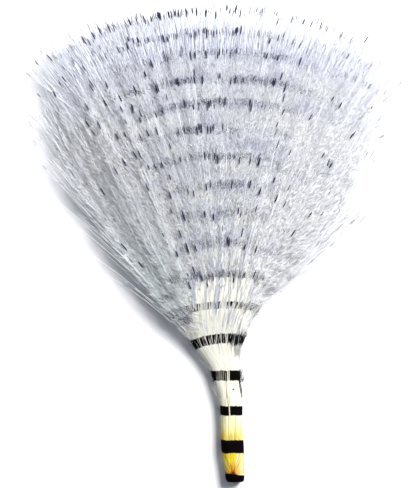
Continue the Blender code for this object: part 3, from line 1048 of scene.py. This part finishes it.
def nothing_selected():
    """Leaves edit mode and deselects everything."""
    if bpy.context.object and bpy.context.object.mode != "OBJECT":
        bpy.ops.object.mode_set(mode="OBJECT")
    bpy.ops.object.select_all(action="DESELECT")


def from_cut_end(along, across, up):
    """A place that is given in mm from the middle of the cut end."""
    x0, y0 = butt_middle()
    return (x0 + across * MM, y0 + along * MM, up * MM)


def swept_rod(name, sections, sides):
    """A rod extruded from section to section: along, across, width, thickness, height of the middle."""
    nothing_selected()
    first = sections[0]
    bpy.ops.mesh.primitive_circle_add(
        vertices=sides, radius=1.0, fill_type="NGON",
        location=from_cut_end(first[0], first[1], first[4]), rotation=(math.pi / 2, 0, 0),
    )
    made = bpy.context.object
    made.name = made.data.name = name
    made.scale = (first[2] / 2 * MM, first[3] / 2 * MM, 1)
    bpy.ops.object.transform_apply(location=True, rotation=True, scale=True)
    bpy.ops.object.mode_set(mode="EDIT")
    bpy.ops.mesh.select_all(action="SELECT")
    for before, after in zip(sections, sections[1:]):
        start, end = (from_cut_end(at[0], at[1], at[4]) for at in (before, after))
        step = tuple(b - a for a, b in zip(start, end))
        bpy.ops.mesh.extrude_region_move(TRANSFORM_OT_translate={"value": step})
        bpy.ops.transform.resize(
            value=(after[2] / before[2], 1, after[3] / before[3]), center_override=end
        )
    bpy.ops.mesh.select_all(action="SELECT")
    bpy.ops.mesh.normals_make_consistent(inside=False)
    bpy.ops.object.mode_set(mode="OBJECT")
    return made


def rounded(piece, levels, material):
    """Rounds the active piece off, shades it smooth, gives it its finish and fits it to the feather."""
    rounder = piece.modifiers.new("rounder", "SUBSURF")
    rounder.levels = rounder.render_levels = levels
    bpy.ops.object.modifier_apply(modifier=rounder.name)
    bpy.ops.object.shade_smooth()
    piece.data.materials.append(material)
    belongs(piece)


class FEATHER_OT_butt(bpy.types.Operator):
    """Builds the gathered butt, fluted by the barbs' bases"""

    bl_idname = "feather.butt"
    bl_label = "Butt"
    bl_options = {"REGISTER", "UNDO"}

    def execute(self, context):
        made = swept_rod("butt", BUTT_SECTIONS, BUTT_SIDES)
        chances = np.random.default_rng(BUTT_SEED)
        depth = chances.uniform(*FLUTES, BUTT_SIDES)
        for along, across, width, thick, up in BUTT_SECTIONS[1:]:
            middle = from_cut_end(along, across, up)
            ring = [v for v in made.data.vertices if abs(v.co.y - middle[1]) < SAME_RING]
            turn = {v.index: math.atan2(v.co.z - middle[2], v.co.x - middle[0]) for v in ring}
            for place_in_ring, index in enumerate(sorted(turn, key=turn.get)):
                vertex = made.data.vertices[index]
                share = depth[place_in_ring] if place_in_ring % 2 else 1.0
                half_x, half_z = width / 2 * MM, thick / 2 * MM
                x, z = (vertex.co.x - middle[0]) / half_x, (vertex.co.z - middle[2]) / half_z
                vertex.co.x = middle[0] + math.copysign(abs(x) ** SQUARED, x) * half_x * share
                vertex.co.z = middle[2] + math.copysign(abs(z) ** SQUARED, z) * half_z * share
        rounded(made, 1, butt_finish(context.scene.feather_colours))
        return {"FINISHED"}


# The quill line, in mm: along, across, width, thickness, height of the middle
QUILL_SECTIONS = (
    (15.6, -1.38, 0.06, 0.34, 4.24),
    (18.0, -1.42, 0.14, 0.34, 4.30),
    (21.0, -1.85, 0.16, 0.34, 4.34),
    (26.0, -2.25, 0.16, 0.34, 4.38),
    (30.0, -2.65, 0.08, 0.34, 4.30),
)
QUILL_SIDES = 8


class FEATHER_OT_quill(bpy.types.Operator):
    """Lays the quill line in the top of the butt"""

    bl_idname = "feather.quill"
    bl_label = "Quill line"
    bl_options = {"REGISTER", "UNDO"}

    def execute(self, context):
        made = swept_rod("quill_line", QUILL_SECTIONS, QUILL_SIDES)
        rounded(made, 2, horn_finish())
        return {"FINISHED"}


# Each layer of barbs: name, seed, how many for each one of the top layer, how much paler (painted
# light: the lower layers are paler to make up for the shade they lie in), the levels between which
# its clumps lie, how far its barbs lie from their clump's level, half the thickness of its barbs in
# mm, and how its barbs end: all of them this much short of the longest, up to this much more, and
# how many do so
BARB_LAYERS = (
    ("barbs_low", 11, 0.60, 0.7, (0.03, 0.80), 0.030, (0.055, 0.085), (0.02, 0.40, 0.6)),
    ("barbs_middle", 12, 0.87, 0.5, (0.80, 0.95), 0.015, (0.055, 0.085), (0.01, 0.38, 0.5)),
    ("barbs_top", 13, 1.00, 0.1, (0.930, 0.988), 0.011, (0.030, 0.062), (0.00, 0.40, 0.28)),
)
BARB_STATIONS = 10
CLUMPS = 420
HIGHEST_LEVEL = 1.05

# The barbs' places: how many are strays, how far a barb and a stray lie from their clump, and how the
# fan is closer in the middle. Their swing and curl are in degrees: with the clump, alone, astray.
STRAY_SHARE = 0.45
BESIDE_CLUMP, STRAYED = 0.010, 0.05
CLOSER, WIDER = 0.74, 0.26
SWINGS, CURLS = (1.8, 1.9, 5.0), (6.0, 6.5, 15.0)
STEADY_SIDES = 0.75

# Their ends: the least of the early ones, how much the rest vary, and how a clump and the rim are cut
EARLY_LEAST, LATE_VARIES, CLUMP_VARIES = 0.2, 0.07, 0.03
RIM = (0.68, 0.32)
RIM_CUT_LEFT, RIM_CUT_RIGHT, RIM_CUT_LESS, RIM_CURLS = 0.55, 0.44, 0.03, 10.0

# Their starts in mm, sooner at the left edge; their waves in mm, how strong and how long; how far the
# barbs of a clump lie apart; how far they lift and sink; where their stations lie; and their shape:
# how thick the root is, where the full thickness starts and how much wider than high they are
STARTS, STARTS_SOONER, STARTS_LEFT = (29.0, 34.0), 6, (0.55, 0.3)
WAVES_HIGH, WAVES_LONG, WAVES_RISE = (0.04, 0.42), (12.0, 36.0), (26 * MM, 20 * MM)
APART, APART_RISES, APART_ENDS, APART_LOST = 0.50 * MM, (24 * MM, 30 * MM), (0.6, 0.4), 0.6
LIFT, LIFT_RISES, LIFT_WAVES = 0.07 * MM, (30 * MM, 20 * MM), 3.1
BARB_TIP, BARB_STATIONS_POWER = 0.992, 1.05
ROOT_THICK, ROOT_OVER, BARB_FLAT = 0.6, 0.3, 1.4


def fan_share(spot):
    """The share of the fan of a clump at that spot, -1 to 1: closer in the middle than at the sides."""
    return spot * (CLOSER + WIDER * spot * spot)


def column(share, chances, loose=0.25):
    """The map column of each barb: its place in the fan, give or take that many columns."""
    at = (share + 1) / 2 * CELLS + chances.normal(0, loose, len(share))
    return np.clip(at.astype(int), 0, CELLS - 1)


def swings(chances, clump, stray, together, alone, astray):
    """The degrees by which barbs swing: with their clump, on their own, and further where they stray."""
    swing = chances.normal(0, together, CLUMPS)[clump] + chances.normal(0, alone, len(clump))
    return swing + stray * chances.normal(0, astray, len(clump))


def barb_ends(chances, clump, share, shorter):
    """Where each barb ends, as a share of the reach at its place, and how far it lies in the rim."""
    least, most, early = shorter
    count = len(share)
    short = chances.random(count)
    sooner = most * (EARLY_LEAST + (1 - EARLY_LEAST) * short)
    short = np.where(chances.random(count) < early, sooner, LATE_VARIES * short**1.5)
    end = 1 - least - short - CLUMP_VARIES * chances.random(CLUMPS)[clump] ** 2
    rim = rise(np.abs(share), *RIM)
    cut = np.where(share < 0, RIM_CUT_LEFT, RIM_CUT_RIGHT) * chances.random(count) ** 0.8
    return end * (1 - rim * (cut - RIM_CUT_LESS)), rim


def barb_layer(name, seed, part_of_top, paler_against_shade, levels, uneven, thickness, shorter, sizes, colours):
    """One layer: clumps of barbs that part, bend and end together, with strays across them."""
    chances = np.random.default_rng(seed)
    count = int(sizes.barbs * part_of_top)
    clump = np.arange(count) * CLUMPS // count
    clump_share = fan_share((np.arange(CLUMPS) + 0.5) / CLUMPS * 2 - 1)
    stray = chances.random(count) < STRAY_SHARE
    share = clump_share[clump] + chances.normal(0, BESIDE_CLUMP, count)
    share = np.clip(share + stray * chances.normal(0, STRAYED, count), -1, 1)
    inner = 1 - STEADY_SIDES * np.abs(share) ** 3
    turn = swings(chances, clump, stray, *SWINGS) * inner
    curl = swings(chances, clump, stray, *CURLS) * inner
    level = chances.uniform(*levels, CLUMPS)[clump] + chances.normal(0, uneven, count)
    level = np.clip(level, 0.0, HIGHEST_LEVEL)
    end, rim = barb_ends(chances, clump, share, shorter)
    curl = curl + np.sign(share) * rim * RIM_CURLS * (1 - end) * chances.random(count)
    until = reach(share, sizes.length) * end
    start = (chances.uniform(*STARTS, count) - STARTS_SOONER * rise(-share, *STARTS_LEFT)) * MM
    offset = chances.normal(0, 1.0, count)
    wave = chances.uniform(*WAVES_HIGH, count) * MM
    wave_long = chances.uniform(*WAVES_LONG, count) * MM
    wave_at = chances.uniform(0, 2 * math.pi, count)

    def aside(along):
        width = APART * rise(along, *APART_RISES)
        width = width * (1 - APART_LOST * rise(along / until[:, None], *APART_ENDS))
        bent = wave[:, None] * rise(along, *WAVES_RISE)
        turned = along / wave_long[:, None] * 2 * math.pi + wave_at[:, None]
        return offset[:, None] * width + bent * np.sin(turned)

    parts = np.append(np.linspace(0, BARB_TIP, BARB_STATIONS - 1) ** BARB_STATIONS_POWER, 1.0)
    x, y, along = fan_places(share, until, start, parts, (turn, curl), sizes, aside)
    thick = chances.uniform(*thickness, count)[:, None] * MM * inner[:, None] ** 0.5
    half_height = thick * (ROOT_THICK + (1 - ROOT_THICK) * smooth(parts[None] / ROOT_OVER))
    over = lies_over(share, along, until, (turn, curl))
    z = height(over, along, level[:, None], half_height, sizes)
    lift = LIFT * rise(along, *LIFT_RISES) * np.clip(level[:, None] * 4, 0, 1)
    z = z + lift * np.sin(along / wave_long[:, None] * LIFT_WAVES + wave_at[:, None] * 2)
    centres = np.stack([x, y, np.maximum(z, half_height)], -1)
    material = barb_finish(name + "_down", seed, colours, paler_against_shade=paler_against_shade)
    cell = column(share, chances)
    return strand_object(name, centres, half_height * BARB_FLAT, half_height, cell, along, material)


class FEATHER_OT_barbs(bpy.types.Operator):
    """Fans out three layers of barbs in clumps"""

    bl_idname = "feather.barbs"
    bl_label = "Barbs"
    bl_options = {"REGISTER", "UNDO"}

    def execute(self, context):
        scene = context.scene
        for layer in BARB_LAYERS:
            belongs(barb_layer(*layer, scene.feather_sizes, scene.feather_colours))
        return {"FINISHED"}


# The fine hairs: their stations, where across the fan they stand, how far of the barbs' reach they end,
# how long they are in mm, how far they swing and curl in degrees, and how many curl outwards, by how
# much and from which share of the fan
HAIR_STATIONS = 7
HAIR_SEED = 21
HAIR_SHARES = (-1.02, 1.04)
HAIR_REACH, HAIR_SHORTER = 1.01, 0.5
HAIR_LONG, HAIR_STARTS = (12.0, 45.0), 30 * MM
HAIR_SWINGS, HAIR_CURLS, HAIR_STEADY_SIDES = 6.0, 8.0, 0.6
OUTWARD_SHARE, OUTWARD, OUTWARD_MOST, OUTWARD_SIDE = 0.3, (2.0, 7.0), 20.0, (0.5, 0.5)

# The wisps at the right: their shares of the fan, how many hairs there are wisps, where they end and
# how long they are in mm, and how far they curl in degrees
WISP_SHARES, WISP_PART = (0.74, 0.95), 0.14
WISP_ENDS, WISP_LONG, WISP_CURLS = (92.0, 108.0), (26.0, 38.0), (30.0, 42.0)

# The hairs' levels, how many are stout, half their thickness in mm, how pointed they are, and how much
# wider than high they and the barbules are
HAIR_LEVELS = (0.76, 1.05)
STOUT_PART, STOUT, FINE = 0.12, (0.045, 0.070), (0.025, 0.050)
HAIR_POINTED, FINE_FLAT = 0.5, 1.3


class FEATHER_OT_hairs(bpy.types.Operator):
    """Adds fine hairs that run across the barbs and stand out at their tips, and wisps at the right"""

    bl_idname = "feather.hairs"
    bl_label = "Fine hairs"
    bl_options = {"REGISTER", "UNDO"}

    def execute(self, context):
        sizes, colours = context.scene.feather_sizes, context.scene.feather_colours
        chances = np.random.default_rng(HAIR_SEED)
        count = sizes.hairs
        share = np.sort(chances.uniform(*HAIR_SHARES, count))
        side = np.abs(share)
        ends = HAIR_REACH - HAIR_SHORTER * chances.random(count) ** 1.5
        until = reach(np.clip(share, -1, 1), sizes.length) * ends
        start = np.maximum(until - chances.uniform(*HAIR_LONG, count) * MM, HAIR_STARTS)
        turn = chances.normal(0, HAIR_SWINGS, count) * (1 - HAIR_STEADY_SIDES * side)
        curl = chances.normal(0, HAIR_CURLS, count)
        outer = chances.random(count) < OUTWARD_SHARE
        outward = np.where(outer, np.minimum(chances.gamma(*OUTWARD, count), OUTWARD_MOST), 0.0)
        curl = curl + np.sign(share) * rise(side, *OUTWARD_SIDE) * outward
        wisps = (share > WISP_SHARES[0]) & (share < WISP_SHARES[1]) & (chances.random(count) < WISP_PART)
        until = np.where(wisps, chances.uniform(*WISP_ENDS, count) * MM, until)
        start = np.where(wisps, until - chances.uniform(*WISP_LONG, count) * MM, start)
        curl = np.where(wisps, chances.uniform(*WISP_CURLS, count), curl)
        level = chances.uniform(*HAIR_LEVELS, count)
        parts = np.linspace(0, 1, HAIR_STATIONS)
        x, y, along = fan_places(share, until, start, parts, (turn, curl), sizes)
        stout = chances.random(count) < STOUT_PART
        thick = np.where(stout, chances.uniform(*STOUT, count), chances.uniform(*FINE, count))
        thick = thick[:, None] * MM * (1 - HAIR_POINTED * parts[None])
        over = lies_over(share, along, until, (turn, curl))
        z = np.maximum(height(over, along, level[:, None], thick, sizes), thick)
        material = barb_finish("hair_down", 31, colours, crisp=1.2, halo=0.1, paler_against_shade=0.4, inward=0.2)
        centres = np.stack([x, y, z], -1)
        cell = column(share, chances)
        belongs(strand_object("hairs", centres, thick * FINE_FLAT, thick, cell, along, material))
        return {"FINISHED"}


# The dark tips: how far along a bar lies, in mm, and how many lie on it, how far they stray from it
# in mm, and how they gather in the middle; then how many lie about the sides, on which shares of the
# fan and how far along in mm; how far out and up they may go; how far they turn; and their length and
# width in mm, their levels and how many times wider than thick they are
TIPS_ON_BARS = (
    (52.5, 4), (60.5, 4), (68.0, 6), (74.75, 7), (82.0, 11), (88.75, 11),
    (95.25, 18), (101.5, 22), (107.9, 16), (113.1, 22), (118.6, 44),
)
TIPS_OFF_BAR, TIPS_MIDDLE = 0.60, (-0.04, 0.30)
TIPS_AT_LEFT, LEFT_TIPS_SHARES, LEFT_TIPS_ALONG = 48, (0.38, 0.90), (50, 108)
TIPS_AT_RIGHT, RIGHT_TIPS_SHARES, RIGHT_TIPS_ALONG = 24, (0.30, 0.95), (50, 112)
TIPS_SEED = 61
TIPS_OUTERMOST, TIPS_FURTHEST, TIPS_SWING = 0.97, 0.995, 3.0
TIPS_LONG, TIPS_WIDE, TIPS_LEVELS, TIPS_FLAT = (1.5, 2.6), (0.12, 0.23), (1.05, 1.08), 3
TIP_PROFILE = (0.55, 1.0, 1.0, 0.85, 0.0)
BLUER, BROWNER = (0.07, 0.075, 0.14, 1.0), (0.13, 0.12, 0.12, 1.0)


def tip_finish(colours):
    """Near-black tips, some of them bluer or browner than the rest."""
    f = StrandFinish("dark_tips_finish", TIPS_SEED)
    streak = f.noise(f.vector(f.times(f.cell, 0.7), f.times(f.up, 180.0), 2.0), detail=1.0)
    colour = f.mix(f.times(f.chance[0], 0.5), colours.bar, BLUER)
    colour = f.mix(f.between(streak, 0.45, 0.75, 0.0, 0.3), colour, BROWNER)
    return f.surface(colour, f.scaled(f.chance[1], 0.2, 0.6), DOWN_SPECULAR)


class FEATHER_OT_tips(bpy.types.Operator):
    """Lays the near-black tips of single barbs along the bars and about the sides"""

    bl_idname = "feather.tips"
    bl_label = "Dark tips"
    bl_options = {"REGISTER", "UNDO"}

    def execute(self, context):
        sizes, colours = context.scene.feather_sizes, context.scene.feather_colours
        chances = np.random.default_rng(TIPS_SEED)
        share = [chances.normal(*TIPS_MIDDLE, many) for _, many in TIPS_ON_BARS]
        at = [far + chances.normal(0, TIPS_OFF_BAR, many) for far, many in TIPS_ON_BARS]
        share.append(-chances.uniform(*LEFT_TIPS_SHARES, TIPS_AT_LEFT))
        share.append(chances.uniform(*RIGHT_TIPS_SHARES, TIPS_AT_RIGHT))
        at.append(chances.uniform(*LEFT_TIPS_ALONG, TIPS_AT_LEFT))
        at.append(chances.uniform(*RIGHT_TIPS_ALONG, TIPS_AT_RIGHT))
        share = np.clip(np.concatenate(share), -TIPS_OUTERMOST, TIPS_OUTERMOST)
        long = chances.uniform(*TIPS_LONG, len(share)) * MM
        until = np.concatenate(at) * MM + long / 2
        until = np.minimum(until, reach(share, sizes.length) * TIPS_FURTHEST)
        turn = chances.normal(0, TIPS_SWING, len(share))
        parts = np.linspace(0, 1, len(TIP_PROFILE))
        x, y, along = fan_places(share, until, until - long, parts, (turn, turn), sizes)
        wide = chances.uniform(*TIPS_WIDE, len(share))[:, None] * MM * np.array(TIP_PROFILE)
        level = chances.uniform(*TIPS_LEVELS, len(share))
        over = lies_over(share, along, until, (turn, turn))
        thick = wide / TIPS_FLAT
        centres = np.stack([x, y, height(over, along, level[:, None], thick, sizes)], -1)
        cell = column(share, chances)
        belongs(strand_object("dark_tips", centres, wide, thick, cell, along, tip_finish(colours)))
        return {"FINISHED"}


# Each layer of barbules: name, seed, how many for each one of a full layer, how much paler (painted
# light: the lower layers are paler to make up for the shade they lie in), its levels, how far they
# slant, how long they are in mm, half their thickness in mm, and how often barred
DOWN_LAYERS = (
    ("down_low", 41, 0.30, 0.8, (0.02, 0.80), 6.0, (1.6, 4.5), (0.030, 0.060), 0.5),
    ("down_middle", 42, 0.85, 0.5, (0.80, 0.97), 7.0, (1.5, 4.2), (0.030, 0.058), 0.7),
    ("down_top", 43, 1.00, 0.2, (0.95, 1.00), 8.0, (1.4, 3.8), (0.028, 0.052), 0.9),
    ("down_over", 44, 1.00, 0.1, (0.97, 1.02), 9.0, (1.2, 3.8), (0.022, 0.044), 1.0),
    ("down_outer", 45, 0.60, 0.1, (0.98, 1.03), 12.0, (0.9, 2.8), (0.020, 0.038), 1.0),
)

# Where barbules grow: how they gather in the middle, how far along in mm, and where they are thin,
# at the right and over the smooth ground of the neck; then how the rim is cut and frayed
DOWN_CLOSER, DOWN_WIDER = 0.88, 0.12
DOWN_STARTS, DOWN_OVER = 27, 84
THINNED, THINNED_SIDE = 0.55, (0.30, 0.45)
BARED, BARED_UNDER, BARED_SIDE, BARED_OVER = 0.93, (42 * MM, 30 * MM), 0.72, 0.2
DOWN_REACH, DOWN_VARIES, DOWN_RIM_CUT = 0.99, 0.06, 0.45
DOWN_SWING, FRAYED, FRAYED_SLANT, DOWN_UNEVEN = 1.5, (0.8, 0.2), 0.8, 0.12


def down_layer(name, seed, part_of_full, paler_against_shade, levels, slants, lengths, thickness, crisp, sizes, colours):
    """One layer of barbules, which slant off the barbs all over the fan."""
    chances = np.random.default_rng(seed)
    count = int(sizes.down * part_of_full)
    spot = np.sort(chances.uniform(-1.0, 1.0, count))
    share = spot * (DOWN_CLOSER + DOWN_WIDER * spot * spot)
    thinned = THINNED * rise(share, *THINNED_SIDE)
    root = (DOWN_STARTS + DOWN_OVER * np.sqrt(chances.random(count))) * MM
    bare = (1 - rise(root, *BARED_UNDER)) * smooth((BARED_SIDE - np.abs(share)) / BARED_OVER)
    kept = (chances.random(count) > thinned) & (chances.random(count) > BARED * bare)
    share, root = share[kept], root[kept]
    count = len(share)
    shorter = DOWN_REACH - DOWN_VARIES * chances.random(count)
    shorter = shorter * (1 - DOWN_RIM_CUT * rise(np.abs(share), *RIM) * chances.random(count))
    root = root * np.minimum(1, reach(share, sizes.length) / sizes.length) * shorter
    level = chances.uniform(*levels, count)
    turn = chances.normal(0, DOWN_SWING, count)
    x, y, along = fan_places(share, root + MM, root, np.array([0.0, 1.0]), (turn, turn), sizes)
    slant = chances.choice((-1, 1), count) * chances.gamma(3.0, slants, count)
    frayed = chances.random(count) < rise(np.abs(share), *FRAYED)
    slant = np.where(frayed, np.sign(share) * np.abs(slant) * FRAYED_SLANT, slant)
    way = np.radians(bearing(share, root) + slant)
    long = chances.uniform(*lengths, count) * MM
    x[:, 1] = x[:, 0] + long * np.sin(way)
    y[:, 1] = y[:, 0] + long * np.cos(way)
    along[:, 1] = root + long * np.cos(np.radians(slant))
    thick = np.repeat(chances.uniform(*thickness, count)[:, None] * MM, 2, 1)
    over = lies_over(share, along, root + MM, (turn, turn))
    z = height(over, along, level[:, None], thick, sizes)
    z[:, 1] += chances.normal(0, DOWN_UNEVEN, count) * MM
    centres = np.stack([x, y, np.maximum(z, thick)], -1)
    material = barb_finish(name + "_finish", seed, colours, crisp, 0.7, paler_against_shade, inward=1.5)
    cell = column(share, chances, 0.4)
    return strand_object(name, centres, thick * FINE_FLAT, thick, cell, along, material)


class FEATHER_OT_down(bpy.types.Operator):
    """Adds five layers of barbules all over the fan"""

    bl_idname = "feather.down"
    bl_label = "Down"
    bl_options = {"REGISTER", "UNDO"}

    def execute(self, context):
        scene = context.scene
        for layer in DOWN_LAYERS:
            belongs(down_layer(*layer, scene.feather_sizes, scene.feather_colours))
        return {"FINISHED"}


# The stage

# Lights: name, bearing from +Y, height angle, distance, size across, power, colour
LIGHTS = (
    ("key", 46.0, 47.0, 0.9, 0.46, 16.6, (0.985, 0.985, 1.0)),
    ("top", 0.0, 88.0, 0.9, 0.5, 0.7, (0.90, 0.94, 1.0)),
    ("fill", -100.0, 48.0, 0.9, 0.5, 0.5, (0.85, 0.91, 1.0)),
)
SKY = (0.72, 0.80, 1.0, 1.0)
SKY_STRENGTH = 0.11
CAMERA_ASIDE, CAMERA_UP, PLUME_MIDDLE = 0.96 * MM, 0.06 * MM, 6 * MM
SENSOR = 36.0


class FEATHER_OT_stage(bpy.types.Operator):
    """Lays the white floor and sets the lights and the camera over the feather"""

    bl_idname = "feather.stage"
    bl_label = "Stage"
    bl_options = {"REGISTER", "UNDO"}

    def execute(self, context):
        scene, sizes = context.scene, context.scene.stage_sizes
        nothing_selected()
        bpy.ops.mesh.primitive_plane_add(size=sizes.floor, location=(0, 0, 0))
        floor = context.object
        floor.name = "floor"
        floor.data.materials.append(floor_finish())
        for name, around, above, far, wide, power, colour in LIGHTS:
            a, e = math.radians(around), math.radians(above)
            where = (far * math.sin(a) * math.cos(e), far * math.cos(a) * math.cos(e), far * math.sin(e))
            turned = (0, math.pi / 2 - e, math.pi / 2 - a)
            bpy.ops.object.light_add(type="AREA", location=where, rotation=turned)
            light = context.object
            light.name = name
            light.data.shape = "DISK"
            light.data.size = wide
            light.data.energy = power
            light.data.color = colour
        world = bpy.data.worlds.new("studio")
        world.use_nodes = True
        ground = world.node_tree.nodes["Background"]
        ground.inputs["Color"].default_value = SKY
        ground.inputs["Strength"].default_value = SKY_STRENGTH
        scene.world = world
        scene.view_settings.view_transform = "Standard"
        where = (CAMERA_ASIDE, CAMERA_UP, sizes.camera_height + PLUME_MIDDLE)
        bpy.ops.object.camera_add(location=where, rotation=(0, 0, 0))
        camera = context.object
        camera.name = "camera"
        camera.data.sensor_width = SENSOR
        camera.data.lens = SENSOR * sizes.camera_height / sizes.view_height
        camera.data.clip_start, camera.data.clip_end = 0.01, 20.0
        scene.camera = camera
        return {"FINISHED"}


OPERATORS = (
    FEATHER_OT_butt,
    FEATHER_OT_quill,
    FEATHER_OT_barbs,
    FEATHER_OT_hairs,
    FEATHER_OT_down,
    FEATHER_OT_tips,
    FEATHER_OT_stage,
)


class VIEW3D_PT_feather(bpy.types.Panel):
    """Lists the feather's sizes, colours and pieces"""

    bl_label = "Marabou feather"
    bl_idname = "VIEW3D_PT_feather"
    bl_space_type = "VIEW_3D"
    bl_region_type = "UI"
    bl_category = "Feather"

    def draw(self, context):
        for name, group in GROUPS.items():
            for prop in group.__annotations__:
                self.layout.prop(getattr(context.scene, name), prop)
        for operator in OPERATORS:
            self.layout.operator(operator.bl_idname)


def register():
    for kind in (*GROUPS.values(), *OPERATORS, VIEW3D_PT_feather):
        bpy.utils.register_class(kind)
    for name, group in GROUPS.items():
        setattr(bpy.types.Scene, name, bpy.props.PointerProperty(type=group))


def unregister():
    for name in GROUPS:
        delattr(bpy.types.Scene, name)
    for kind in reversed((*GROUPS.values(), *OPERATORS, VIEW3D_PT_feather)):
        bpy.utils.unregister_class(kind)


def main():
    register()
    for operator in OPERATORS:
        group, name = operator.bl_idname.split(".")
        if getattr(getattr(bpy.ops, group), name)() != {"FINISHED"}:
            raise RuntimeError(operator.bl_idname + " did not finish")


if __name__ == "__main__":
    main()
